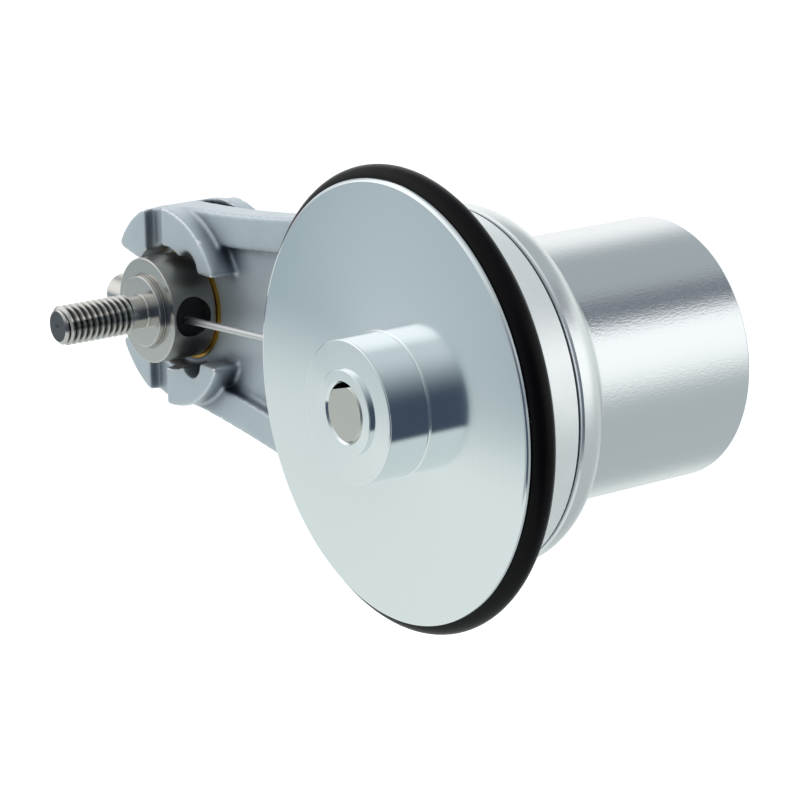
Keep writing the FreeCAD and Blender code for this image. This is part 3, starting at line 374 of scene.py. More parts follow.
def drawn_can_metal():
    """Drawn and brushed metal: streaks along the draw and a fine grain break up reflections.

    Both are drawn coarser than real, so that they show.
    """
    material, tree, shader, place = start_material(
        "drawn_can_metal", Metallic=1.0, Base_Color=linear("#DDE2E4"))
    stretched = add(tree, "ShaderNodeMapping", inputs={"Vector": place, "Scale": (1.0, 0.4, 1.0)})
    streaks = add(tree, "ShaderNodeTexNoise", inputs={
        "Vector": stretched.outputs[0], "Scale": 1 / (0.3 * MM), "Detail": 4.0, "Roughness": 0.65})
    roughness = add(tree, "ShaderNodeMapRange", inputs={
        "Value": streaks.outputs["Fac"], "To Min": 0.12, "To Max": 0.18})
    tree.links.new(roughness.outputs["Result"], shader.inputs["Roughness"])
    bump = add(tree, "ShaderNodeBump", inputs={
        "Strength": 1.0, "Distance": 0.03 * MM, "Height": streaks.outputs["Fac"]})
    tree.links.new(bump.outputs["Normal"], shader.inputs["Normal"])
    return material


def polished_stainless():
    """Turned and polished stainless steel: a near mirror, with painted shade in thread roots and inner corners.

    Its turning lines are drawn coarser than real ones, so that they show.
    """
    material, tree, shader, place = start_material("polished_stainless", Metallic=1.0)
    # Painted shade: darker where the AO finds close surfaces, in thread roots and inner corners
    painted_shade_occlusion = add(tree, "ShaderNodeAmbientOcclusion", {
        "only_local": True, "samples": PAINTED_SHADE_SAMPLES}, {"Distance": 0.7 * MM})
    painted_shade_mask = add(tree, "ShaderNodeMapRange", {"interpolation_type": "SMOOTHSTEP"}, {
        "Value": painted_shade_occlusion.outputs["AO"], "From Min": 0.4, "From Max": 0.9})
    colour = add(tree, "ShaderNodeMix", {"data_type": "RGBA"}, {
        "Factor": painted_shade_mask.outputs["Result"], COLOUR_A: linear("#35342F"), COLOUR_B: linear("#C4C3BF")})
    tree.links.new(colour.outputs[COLOUR_OUT], shader.inputs["Base Color"])
    stretched = add(tree, "ShaderNodeMapping", inputs={"Vector": place, "Scale": (0.08, 1.0, 0.08)})
    lines = add(tree, "ShaderNodeTexNoise", inputs={
        "Vector": stretched.outputs[0], "Scale": 1 / (0.3 * MM), "Detail": 2.0})
    roughness = add(tree, "ShaderNodeMapRange", inputs={
        "Value": lines.outputs["Fac"], "To Min": 0.14, "To Max": 0.22})
    tree.links.new(roughness.outputs["Result"], shader.inputs["Roughness"])
    return material


def plain_metal(name, colour, low, high, grain_mm):
    """Metal with an even grain, drawn coarser than real: finishes differ in colour, gloss and grain."""
    material, tree, shader, place = start_material(name, Metallic=1.0, Base_Color=linear(colour))
    grain = add(tree, "ShaderNodeTexNoise", inputs={
        "Vector": place, "Scale": 1 / (grain_mm * MM), "Detail": 3.0})
    roughness = add(tree, "ShaderNodeMapRange", inputs={
        "Value": grain.outputs["Fac"], "To Min": low, "To Max": high})
    tree.links.new(roughness.outputs["Result"], shader.inputs["Roughness"])
    return material


def nitrile_rubber():
    """Black nitrile rubber: a satin skin with a little pale dust, and pores drawn coarser than real."""
    material, tree, shader, place = start_material("nitrile_rubber", Specular_IOR_Level=0.1)
    specks = add(tree, "ShaderNodeTexVoronoi", inputs={"Vector": place, "Scale": 1 / (2.2 * MM)})
    dust = add(tree, "ShaderNodeMapRange", inputs={
        "Value": specks.outputs["Distance"], "From Min": 0.03, "From Max": 0.06,
        "To Min": 1.0, "To Max": 0.0})
    colour = add(tree, "ShaderNodeMix", {"data_type": "RGBA"}, {
        "Factor": dust.outputs["Result"], COLOUR_A: linear("#050406"), COLOUR_B: linear("#343236")})
    tree.links.new(colour.outputs[COLOUR_OUT], shader.inputs["Base Color"])
    pores = add(tree, "ShaderNodeTexNoise", inputs={
        "Vector": place, "Scale": 1 / (0.25 * MM), "Detail": 2.0})
    roughness = add(tree, "ShaderNodeMapRange", inputs={
        "Value": pores.outputs["Fac"], "To Min": 0.28, "To Max": 0.38})
    tree.links.new(roughness.outputs["Result"], shader.inputs["Roughness"])
    return material


def plastic(name, colour, low, high, grain_mm):
    """Moulded plastic or laminate: an even colour under a fine texture, drawn coarser than real."""
    material, tree, shader, place = start_material(name, Base_Color=linear(colour))
    grain = add(tree, "ShaderNodeTexNoise", inputs={
        "Vector": place, "Scale": 1 / (grain_mm * MM), "Detail": 2.0})
    roughness = add(tree, "ShaderNodeMapRange", inputs={
        "Value": grain.outputs["Fac"], "To Min": low, "To Max": high})
    tree.links.new(roughness.outputs["Result"], shader.inputs["Roughness"])
    return material


def code_disc_glass():
    """Clear soda-lime glass, with the faintest haze."""
    material, tree, shader, place = start_material(
        "code_disc_glass", Base_Color=linear("#E6F0F0"), Transmission_Weight=0.9, IOR=1.52)
    haze = add(tree, "ShaderNodeTexNoise", inputs={"Vector": place, "Scale": 1 / (2 * MM)})
    roughness = add(tree, "ShaderNodeMapRange", inputs={
        "Value": haze.outputs["Fac"], "To Min": 0.02, "To Max": 0.08})
    tree.links.new(roughness.outputs["Result"], shader.inputs["Roughness"])
    return material


FINISH = {
    "turned_aluminium": turned_aluminium(),
    "cast_aluminium": die_cast_aluminium(),
    "can_metal": drawn_can_metal(),
    "polished_steel": polished_stainless(),
    "black_rubber": nitrile_rubber(),
    "flange_aluminium": plain_metal("satin_flange_aluminium", "#E6EAEB", 0.24, 0.34, 0.8),
    "spring_steel": plain_metal("bright_spring_steel", "#DADBDC", 0.42, 0.52, 0.4),
    "black_steel": plain_metal("blackened_steel", "#2A2A2D", 0.3, 0.45, 0.3),
    "zinc_steel": plain_metal("zinc_plated_steel", "#C9CFD4", 0.25, 0.4, 0.6),
    "ground_steel": plain_metal("ground_shaft_steel", "#D2D1CA", 0.3, 0.42, 0.3),
    "bearing_steel": plain_metal("ground_bearing_steel", "#C8C9CB", 0.12, 0.2, 0.4),
    "bronze": plain_metal("sintered_bronze", "#C8983E", 0.2, 0.3, 0.3),
    "nickel_brass": plain_metal("nickel_plated_brass", "#D9D5CB", 0.14, 0.22, 0.6),
    "contact_gold": plain_metal("gold_plated_contacts", "#E0B45C", 0.15, 0.25, 0.3),
    "black_plastic": plastic("black_nylon", "#0B0B0C", 0.45, 0.6, 0.3),
    "clear_plastic": plastic("clear_epoxy", "#D7DBDB", 0.1, 0.2, 0.5),
    "disc_glass": code_disc_glass(),
    "board_laminate": plastic("green_solder_mask", "#1F5A3C", 0.3, 0.45, 0.5),
    "lead_plastic": plastic("grey_ribbon_pvc", "#8A8C90", 0.4, 0.55, 0.4),
}
RING_FACE = blasted_aluminium()
STUD_END = plain_metal("sheared_stud_end", "#5C6066", 0.35, 0.6, 0.4)
# The drum's sides: a rougher fine-turned finish, with a darker colour that is painted shade
SHADED_DRUM_SIDE = plain_metal("shaded_fine_turned_stainless", "#A6A39D", 0.3, 0.4, 0.3)


def finish_nodes():
    """Give every piece of the frame the material of its slot."""
    for entry in frame["record"]["subparts"]:
        mesh = nodes[entry["node"]].data
        mesh.materials.clear()
        mesh.materials.append(FINISH[entry["material_slot"]])


# Meshes

def to_piece(bm, name, slot, body, *replaced):
    """Turn a finished bmesh into a piece that rides on a body and stands for CAD nodes."""
    mesh = bpy.data.meshes.new(name)
    bm.to_mesh(mesh)
    bm.free()
    mesh.shade_smooth()
    piece = bpy.data.objects.new(name, mesh)
    bpy.context.scene.collection.objects.link(piece)
    if slot:
        mesh.materials.append(FINISH[slot])
    if body:
        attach(piece, body)
    if replaced:
        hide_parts(*replaced)
    return piece


def wire_loop(bm, outline, x=0.0):
    """A closed wire of (radius, y) points beside the axis at x; a third value softens that corner."""
    verts = [bm.verts.new((x + step[0], step[1], 0.0)) for step in outline]
    for pair in zip(verts, verts[1:] + verts[:1]):
        bm.edges.new(pair)
    for vert, step in zip(verts, outline):
        if len(step) == 3:
            bmesh.ops.bevel(bm, geom=[vert], affect="VERTICES", offset_type="OFFSET", offset=step[2],
                            segments=CORNER_STEPS, profile=0.5, material=-1)


def turn(bm, outline, x=0.0, steps=TURN_STEPS):
    """Turn a closed outline of (radius, y) points about the Y axis through x."""
    wire_loop(bm, outline, x)
    verts = [vert for vert in bm.verts if not vert.link_faces]
    edges = [edge for edge in bm.edges if not edge.link_faces]
    bmesh.ops.spin(bm, geom=verts + edges, cent=(x, 0, 0), axis=(0, 1, 0),
                   angle=math.tau, steps=steps, use_merge=True)
    close_mesh(bm)


def close_mesh(bm):
    """Merge doubled points and point the faces outwards."""
    bmesh.ops.remove_doubles(bm, verts=bm.verts, dist=MERGE_DISTANCE)
    loose = [edge for edge in bm.edges if not edge.link_faces]
    bmesh.ops.delete(bm, geom=loose, context="EDGES")
    bmesh.ops.recalc_face_normals(bm, faces=bm.faces)


def block(bm, low, high):
    """A block between two opposite corners."""
    made = bmesh.ops.create_cube(bm, size=1.0)
    middle = (Vector(low) + Vector(high)) / 2
    bmesh.ops.scale(bm, verts=made["verts"], vec=Vector(high) - Vector(low))
    bmesh.ops.translate(bm, verts=made["verts"], vec=middle)
    return made["verts"]


def bar(bm, radius, start, end, segments=TURN_STEPS // 3):
    """A round bar between two points."""
    line = Vector(end) - Vector(start)
    middle = Matrix.Translation((Vector(start) + Vector(end)) / 2)
    turned = line.to_track_quat("Z", "Y").to_matrix().to_4x4()
    made = bmesh.ops.create_cone(bm, cap_ends=True, segments=segments, radius1=radius, radius2=radius,
                                 depth=line.length, matrix=middle @ turned)
    return made["verts"]


def raise_face(bm, height):
    """Fill a flat closed wire and raise it along Y into a solid."""
    face = bmesh.ops.contextual_create(bm, geom=bm.edges[:])["faces"]
    grown = bmesh.ops.extrude_face_region(bm, geom=face)
    verts = [item for item in grown["geom"] if isinstance(item, bmesh.types.BMVert)]
    bmesh.ops.translate(bm, verts=verts, vec=(0, height, 0))
    bmesh.ops.recalc_face_normals(bm, faces=bm.faces)


def add_shell(bm, other):
    """Put another bmesh's shell beside those in a bmesh; the other is used up."""
    mesh = bpy.data.meshes.new("shell")
    other.to_mesh(mesh)
    other.free()
    bm.from_mesh(mesh)
    bpy.data.meshes.remove(mesh)


def combine(bm, other, operation):
    """Cut, join or cross the solid in one bmesh with that in another, which is used up."""
    solids = []
    for name, source in (("first", bm), ("second", other)):
        mesh = bpy.data.meshes.new(name)
        source.to_mesh(mesh)
        solid = bpy.data.objects.new(name, mesh)
        bpy.context.scene.collection.objects.link(solid)
        solids.append(solid)
    first, second = solids
    change = first.modifiers.new("change", "BOOLEAN")
    change.object = second
    change.operation = operation
    change.solver = "EXACT"
    changed = first.evaluated_get(bpy.context.evaluated_depsgraph_get())
    result = bpy.data.meshes.new_from_object(changed)
    bm.clear()
    bm.from_mesh(result)
    other.free()
    for solid in solids:
        bpy.data.meshes.remove(solid.data)
    bpy.data.meshes.remove(result)


def break_edges(piece, width=EDGE_BREAK):
    """Break a piece's sharp edges, as a deburred part has them."""
    bevel = piece.modifiers.new("broken_edges", "BEVEL")
    bevel.width = width
    bevel.segments = EDGE_STEPS
    bevel.limit_method = "ANGLE"
    bevel.angle_limit = BREAK_ANGLE
    bevel.harden_normals = True


def keep_faces_flat(piece):
    """Shade each face as flat as it is, so that broken edges stay crisp lines."""
    piece.data.set_sharp_from_angle(angle=SHARP_ANGLE)
    weights = piece.modifiers.new("flat_faces", "WEIGHTED_NORMAL")
    weights.weight = FLAT_WEIGHT
    weights.keep_sharp = True


# Spring arm

def side_centre():
    """Centre of the hollow curve along the arm's upper side, touching the hub and the ring."""
    to_hub = SIDE_RADIUS + HUB_RADIUS
    to_ring = SIDE_RADIUS + RING_RADIUS
    x = (WHEEL_X ** 2 + to_hub ** 2 - to_ring ** 2) / (2 * WHEEL_X)
    return Vector((x, 0, math.sqrt(to_hub ** 2 - x ** 2)))


def side_span():
    """Angle of the side's curve, from the hub to the ring."""
    centre = side_centre()
    return (-centre).angle(Vector((WHEEL_X, 0, 0)) - centre)


def arm_web(bm):
    """Flat web over the whole outline of the arm: half of it is drawn with arcs and mirrored."""
    centre = side_centre()
    low_y = ARM_FRONT_Y + WEB_RECESS
    high_y = ARM_REAR_Y - WEB_RECESS
    hub_top = centre.normalized() * HUB_RADIUS
    hub_turn = math.pi - math.atan2(centre.z, centre.x)
    start = bm.verts.new((hub_top.x, low_y, hub_top.z))
    bmesh.ops.spin(bm, geom=[start], cent=(0, 0, 0), axis=(0, -1, 0),
                   angle=hub_turn, steps=SIDE_STEPS)
    across = bmesh.ops.spin(bm, geom=[start], cent=centre, axis=(0, -1, 0),
                            angle=side_span(), steps=SIDE_STEPS)
    ring_top = across["geom_last"]
    towards_ring = centre - Vector((WHEEL_X, 0, 0))
    ring_turn = math.atan2(towards_ring.z, towards_ring.x)
    bmesh.ops.spin(bm, geom=ring_top, cent=(WHEEL_X, 0, 0), axis=(0, 1, 0),
                   angle=ring_turn, steps=SIDE_STEPS)
    bmesh.ops.mirror(bm, geom=bm.verts[:] + bm.edges[:], axis="Z", merge_dist=MERGE_DISTANCE)
    bmesh.ops.remove_doubles(bm, verts=bm.verts, dist=MERGE_DISTANCE)
    raise_face(bm, high_y - low_y)


def arm_rib(bm):
    """Upper rib: a plain section swept along the arm's hollow side."""
    centre = side_centre()
    outwards = -centre.normalized()
    section = []
    for reach, y in ((SIDE_RADIUS, ARM_FRONT_Y), (SIDE_RADIUS + RIB_WIDTH, ARM_FRONT_Y),
                     (SIDE_RADIUS + RIB_WIDTH, ARM_REAR_Y), (SIDE_RADIUS, ARM_REAR_Y)):
        section.append(bm.verts.new(centre + outwards * reach + Vector((0, y, 0))))
    face = bm.faces.new(section)
    bmesh.ops.spin(bm, geom=[face] + list(face.edges) + section, cent=centre, axis=(0, -1, 0),
                   angle=side_span(), steps=SIDE_STEPS)
    close_mesh(bm)


def near_corner(radius):
    """Where the wheel side's gap meets a circle round the pivot."""
    return Vector((math.sqrt(radius ** 2 - NEAR_GAP_HALF ** 2), 0, NEAR_GAP_HALF))


def far_corner(radius):
    """Where the far side's gap, which opens outwards, meets a circle round the pivot."""
    slope = math.tan(FAR_GAP_SLOPE)
    steepness = 1 + slope ** 2
    lead = FAR_GAP_HALF * slope
    reach = (math.sqrt(lead ** 2 - steepness * (FAR_GAP_HALF ** 2 - radius ** 2)) - lead) / steepness
    return Vector((-reach, 0, FAR_GAP_HALF + slope * reach))


def crown_half(bm):
    """Upper half of the castellated crown: a plan of arcs, raised, then notched and scalloped."""
    ends = []
    for radius in (HUB_RADIUS, CROWN_BORE):
        near = near_corner(radius)
        span = near.angle(far_corner(radius))
        first = bm.verts.new((near.x, CROWN_FRONT_Y, near.z))
        steps = round(CAST_STEPS * span / math.tau)
        arc = bmesh.ops.spin(bm, geom=[first], cent=(0, 0, 0), axis=(0, -1, 0),
                             angle=span, steps=steps)
        ends.append((first, arc["geom_last"][0]))
    for outer, inner in zip(*ends):
        bm.edges.new((outer, inner))
    bmesh.ops.bevel(bm, geom=list(ends[0]), affect="VERTICES", offset_type="OFFSET",
                    offset=MERLON_CORNER, segments=CORNER_STEPS, profile=0.5, material=-1)
    raise_face(bm, ARM_HIGH.y - CROWN_FRONT_Y)
    reach = 2 * HUB_RADIUS
    notches = bmesh.new()
    notch_low_x = NOTCH_X - NOTCH_WIDTH / 2
    notch_high_x = NOTCH_X + NOTCH_WIDTH / 2
    block(notches, (notch_low_x, -reach, 0), (notch_high_x, CROWN_FRONT_Y + NOTCH_DEPTH, reach))
    block(notches, (notch_low_x, ARM_HIGH.y - NOTCH_DEPTH, 0), (notch_high_x, reach, reach))
    combine(bm, notches, "DIFFERENCE")
    hollows = bmesh.new()
    bar(hollows, SCALLOP_RADIUS, (SCALLOP_X, -reach, SCALLOP_Z), (SCALLOP_X, reach, SCALLOP_Z))
    combine(bm, hollows, "DIFFERENCE")
    window = bmesh.new()
    block(window, (WINDOW_START_X, ARM_REAR_Y, WINDOW_FLOOR_Z),
          (WINDOW_END_X, ARM_REAR_Y + WINDOW_WIDTH, reach))
    combine(bm, window, "DIFFERENCE")


def ring_core(low_y, high_y):
    """A bar that clears the casting away where the encoder's ring sits, all but an overlap."""
    core = bmesh.new()
    bar(core, RING_RADIUS - RING_OVERLAP, (WHEEL_X, low_y, 0), (WHEEL_X, high_y, 0), TURN_STEPS)
    return core


def cast_arm():
    """Die-cast spring arm: web, ribs and crown, run together with soft cast edges."""
    low_y = ARM_LOW.y - HUB_RADIUS
    high_y = ARM_HIGH.y + HUB_RADIUS
    bm = bmesh.new()
    arm_web(bm)
    bores = ring_core(low_y, high_y)
    bar(bores, BUSH_BORE, (0, low_y, 0), (0, high_y, 0))
    combine(bm, bores, "DIFFERENCE")
    halves = bmesh.new()
    arm_rib(halves)
    combine(halves, ring_core(low_y, high_y), "DIFFERENCE")
    crown = bmesh.new()
    crown_half(crown)
    add_shell(halves, crown)
    upper = halves.verts[:] + halves.edges[:] + halves.faces[:]
    bmesh.ops.mirror(halves, geom=upper, axis="Z", merge_dist=-1)
    bmesh.ops.recalc_face_normals(halves, faces=halves.faces)
    add_shell(bm, halves)
    boss = bmesh.new()
    turn(boss, [(BUSH_BORE, ARM_FRONT_Y + WEB_RECESS), (REAR_BOSS_RADIUS, ARM_FRONT_Y + WEB_RECESS),
                (REAR_BOSS_RADIUS, REAR_BOSS_Y), (BUSH_BORE, REAR_BOSS_Y)])
    add_shell(bm, boss)
    arm = to_piece(bm, "cast_arm", "cast_aluminium", "arm", "spring_arm")
    skin = arm.modifiers.new("one_skin", "REMESH")
    skin.mode = "VOXEL"
    skin.voxel_size = CAST_GRID
    skin.use_smooth_shade = True
    soft = arm.modifiers.new("soft_edges", "SMOOTH")
    soft.factor = CAST_SMOOTHING
    soft.iterations = CAST_SOFTENING


def encoder_ring():
    """Ring of the arm that carries the encoder, machined crisp, with its counterbored screw holes."""
    bm = bmesh.new()
    turn(bm, [
        (COLLAR_BORE, ARM_FRONT_Y, EDGE_BREAK),
        (RING_RADIUS, ARM_FRONT_Y, EDGE_BREAK),
        (RING_RADIUS, ARM_REAR_Y, EDGE_BREAK),
        (COLLAR_BORE, ARM_REAR_Y, EDGE_BREAK),
    ], WHEEL_X)
    steps = ((SCREW_HOLE, 2 * ARM_REAR_Y), (SCREW_HEAD_HOLE, ARM_FRONT_Y + SCREW_HEAD_DEPTH))
    for degrees in SCREW_ANGLES:
        turned = math.radians(degrees)
        x = WHEEL_X + SCREW_CIRCLE * math.cos(turned)
        z = SCREW_CIRCLE * math.sin(turned)
        for radius, end_y in steps:
            hole = bmesh.new()
            bar(hole, radius, (x, 0, z), (x, end_y, z))
            combine(bm, hole, "DIFFERENCE")
    ring = to_piece(bm, "encoder_ring", "cast_aluminium", "arm")
    ring.data.materials[0] = RING_FACE
    keep_faces_flat(ring)


def seam_ring():
    """Bright metal edge of the seal between the arm's ring and the encoder, in the mouth of the seam."""
    bm = bmesh.new()
    slope = SEAM_HIGH_Y - SEAM_LOW_Y
    turn(bm, [
        (SEAM_FOOT, SEAM_LOW_Y),
        (SEAM_RADIUS, SEAM_LOW_Y, SEAM_EDGE),
        (SEAM_RADIUS, SEAM_HIGH_Y, SEAM_EDGE),
        (SEAM_FOOT + slope, SEAM_HIGH_Y),
    ], WHEEL_X)
    keep_faces_flat(to_piece(bm, "seam_ring", "zinc_steel", "arm"))


def wire_place(x):
    """A point on the spring wire's line."""
    return Vector((x, WIRE_Y, x * math.tan(WIRE_RISE) - WIRE_OFFSET))


def wire_seat():
    """Forked post on the web that guides the wire's free end."""
    bm = bmesh.new()
    middle = wire_place(SEAT_X + SEAT_LENGTH / 2)
    half = SEAT_WIDTH / 2
    end_x = SEAT_X + SEAT_LENGTH
    block(bm, (SEAT_X, ARM_LOW.y, middle.z - half),
          (end_x, ARM_FRONT_Y + 2 * WEB_RECESS, middle.z + half))
    slot = bmesh.new()
    verts = block(slot, (SEAT_X - half, 0, -SEAT_SLOT_HALF),
                  (end_x + half, middle.y + SEAT_SLOT_HALF, SEAT_SLOT_HALF))
    bmesh.ops.rotate(slot, verts=verts, cent=(0, 0, 0), matrix=Matrix.Rotation(-WIRE_RISE, 3, "Y"))
    bmesh.ops.translate(slot, verts=verts, vec=(0, 0, -WIRE_OFFSET))
    combine(bm, slot, "DIFFERENCE")
    break_edges(to_piece(bm, "wire_seat", "cast_aluminium", "arm"), SEAT_EDGE)


# Wheel

def turned_wheel():
    """Disc, hub and lip turned from one blank, with the tyre's groove and the grub screw's hole."""
    rim = (WHEEL_HIGH.x - WHEEL_LOW.x) / 2
    bm = bmesh.new()
    turn(bm, [
        (WHEEL_BORE, WHEEL_LOW.y + BORE_CHAMFER),
        (WHEEL_BORE + BORE_CHAMFER, WHEEL_LOW.y),
        (LIP_RADIUS, WHEEL_LOW.y, EDGE_BREAK),
        (LIP_RADIUS, HUB_FRONT_Y),
        (WHEEL_HUB_RADIUS, HUB_FRONT_Y, WHEEL_HUB_EDGE),
        (WHEEL_HUB_RADIUS, WHEEL_FACE_Y, WHEEL_HUB_FILLET),
        (rim, WHEEL_FACE_Y, RIM_EDGE),
        (rim, GROOVE_FRONT_Y, EDGE_BREAK),
        (GROOVE_RADIUS, GROOVE_FRONT_Y),
        (GROOVE_RADIUS, GROOVE_REAR_Y),
        (rim, GROOVE_REAR_Y, EDGE_BREAK),
        (rim, WHEEL_HIGH.y, RIM_EDGE),
        (WHEEL_BORE, WHEEL_HIGH.y),
    ], WHEEL_X)
    hole = bmesh.new()
    bar(hole, SET_SCREW_HOLE, (WHEEL_X, SET_SCREW_Y, 0),
        (WHEEL_X, SET_SCREW_Y, -WHEEL_HUB_RADIUS - EDGE_BREAK))
    combine(bm, hole, "DIFFERENCE")
    keep_faces_flat(to_piece(bm, "turned_wheel", "turned_aluminium", "wheel", "measuring_wheel"))


# Pivot

def screw_thread(radius, pitch, start_y, end_y):
    """A solid length of screw thread along Y, with flat ends."""
    bm = bmesh.new()
    turns = math.ceil((end_y - start_y) / pitch) + THREAD_SPARE
    verts = []
    for index in range(turns):
        for along, height in THREAD_FORM:
            reach = radius - THREAD_DEPTH * pitch * (1 - height)
            verts.append(bm.verts.new((reach, start_y + (index - THREAD_LEAD + along) * pitch, 0)))
    edges = [bm.edges.new(pair) for pair in zip(verts, verts[1:])]
    bmesh.ops.spin(bm, geom=verts + edges, cent=(0, 0, 0), axis=(0, 1, 0), angle=math.tau,
                   dvec=(0, pitch / THREAD_STEPS, 0), steps=THREAD_STEPS, use_merge=False)
    bmesh.ops.remove_doubles(bm, verts=bm.verts, dist=MERGE_DISTANCE)
    for y, outwards in ((start_y, -1), (end_y, 1)):
        thread = bm.verts[:] + bm.edges[:] + bm.faces[:]
        cut = bmesh.ops.bisect_plane(bm, geom=thread, plane_co=(0, y, 0),
                                     plane_no=(0, outwards, 0), clear_outer=True)
        rim = [item for item in cut["geom_cut"] if isinstance(item, bmesh.types.BMEdge)]
        bmesh.ops.contextual_create(bm, geom=rim)
    bmesh.ops.recalc_face_normals(bm, faces=bm.faces)
    return bm


def threaded_spindle():
    """Stud with its thread, seat boss, drum with the cross hole, and journal, turned from one bar."""
    tip_y = SPINDLE_LOW.y
    end_y = SPINDLE_HIGH.y
    bm = screw_thread(STUD_RADIUS, STUD_PITCH, tip_y, -STUD_NECK)
    envelope = bmesh.new()
    turn(envelope, [
        (0, tip_y + CENTRE_DRILL_DEPTH),
        (CENTRE_DRILL_RADIUS, tip_y),
        (STUD_RADIUS - STUD_CHAMFER, tip_y),
        (STUD_RADIUS + SLIP, tip_y + STUD_CHAMFER + SLIP),
        (STUD_RADIUS + SLIP, 0),
        (0, 0),
    ])
    combine(bm, envelope, "INTERSECT")
    body = bmesh.new()
    turn(body, [
        (0, -STUD_NECK - SLIP),
        (STUD_NECK_RADIUS, -STUD_NECK - SLIP),
        (STUD_NECK_RADIUS, 0, NECK_FILLET),
        (BOSS_RADIUS, 0, DRUM_EDGE),
        (BOSS_RADIUS, BOSS_HEIGHT, EDGE_BREAK),
        (SPINDLE_HIGH.x, BOSS_HEIGHT, DRUM_EDGE),
        (SPINDLE_HIGH.x, DRUM_REAR_Y, EDGE_BREAK),
        (JOURNAL_RADIUS, DRUM_REAR_Y),
        (JOURNAL_RADIUS, CLIP_GROOVE_Y),
        (CLIP_GROOVE_RADIUS, CLIP_GROOVE_Y),
        (CLIP_GROOVE_RADIUS, CLIP_GROOVE_Y + CLIP_GROOVE_WIDTH),
        (JOURNAL_RADIUS, CLIP_GROOVE_Y + CLIP_GROOVE_WIDTH),
        (JOURNAL_RADIUS, end_y, DRUM_EDGE),
        (0, end_y),
    ])
    reach = 2 * SPINDLE_HIGH.x
    holes = bmesh.new()
    bar(holes, CROSS_HOLE_RADIUS, (-reach, WIRE_Y, 0), (reach, WIRE_Y, 0))
    screw_hole = bmesh.new()
    bar(screw_hole, HOLDER_SCREW_HOLE, (HOLDER_SCREW_X, WIRE_Y, -reach), (HOLDER_SCREW_X, WIRE_Y, 0))
    combine(holes, screw_hole, "UNION")
    combine(body, holes, "DIFFERENCE")
    combine(bm, body, "UNION")
    extra_finishes = (STUD_END, SHADED_DRUM_SIDE)
    for face in bm.faces:
        place = face.calc_center_median()
        across = math.hypot(place.x, place.z)
        if place.y < tip_y + CENTRE_DRILL_DEPTH and across < STUD_RADIUS - STUD_CHAMFER:
            face.material_index = 1 + extra_finishes.index(STUD_END)
        # Sides of the drum take the darker material: painted shade, over a rougher turned finish
        elif across > BOSS_RADIUS and abs(face.normal.y) < SIDE_LEAN:
            face.material_index = 1 + extra_finishes.index(SHADED_DRUM_SIDE)
    spindle = to_piece(bm, "threaded_spindle", "polished_steel", "mount", "pivot_spindle")
    for finish in extra_finishes:
        spindle.data.materials.append(finish)
    keep_faces_flat(spindle)


def bent_wire():
    """Spring wire, a straight bar between its sleeve and its seat, cut into short lengths."""
    tilt = WIRE_RADIUS * math.sin(WIRE_RISE)
    bm = bmesh.new()
    start = wire_place(WIRE_LOW.x + tilt)
    end = wire_place(WIRE_HIGH.x - tilt)
    bar(bm, WIRE_RADIUS, start, end, WIRE_SEGMENTS)
    rims = [edge for edge in bm.edges if edge.calc_length() < WIRE_RADIUS]
    bmesh.ops.bevel(bm, geom=rims, affect="EDGES", offset=EDGE_BREAK, offset_type="OFFSET",
                    segments=EDGE_STEPS, profile=0.5, material=-1)
    long_edges = [edge for edge in bm.edges if edge.calc_length() > (end - start).length / 2]
    bmesh.ops.subdivide_edges(bm, edges=long_edges, cuts=WIRE_CUTS, use_grid_fill=True)
    wire = to_piece(bm, "bent_wire", "spring_steel", None, "spring_wire")
    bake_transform(wire)


# Encoder

def drawn_can():
    """Drawn can, closed at the end, with the connector's hole in its side."""
    inner = CAN_RADIUS - CAN_WALL
    floor_y = CAN_HIGH.y - CAN_WALL
    bm = bmesh.new()
    turn(bm, [
        (0, floor_y),
        (inner, floor_y),
        (inner, CAN_LOW.y),
        (CAN_RADIUS, CAN_LOW.y),
        (CAN_RADIUS, CAN_HIGH.y, CAN_EDGE_ROUND),
        (0, CAN_HIGH.y),
    ], WHEEL_X)
    hole = bmesh.new()
    bar(hole, SHELL_NECK_RADIUS + SLIP, (WHEEL_X - 2 * CAN_RADIUS, CONNECTOR_Y, 0),
        (WHEEL_X, CONNECTOR_Y, 0))
    combine(bm, hole, "DIFFERENCE")
    keep_faces_flat(to_piece(bm, "drawn_can", "can_metal", "arm", "encoder_can"))


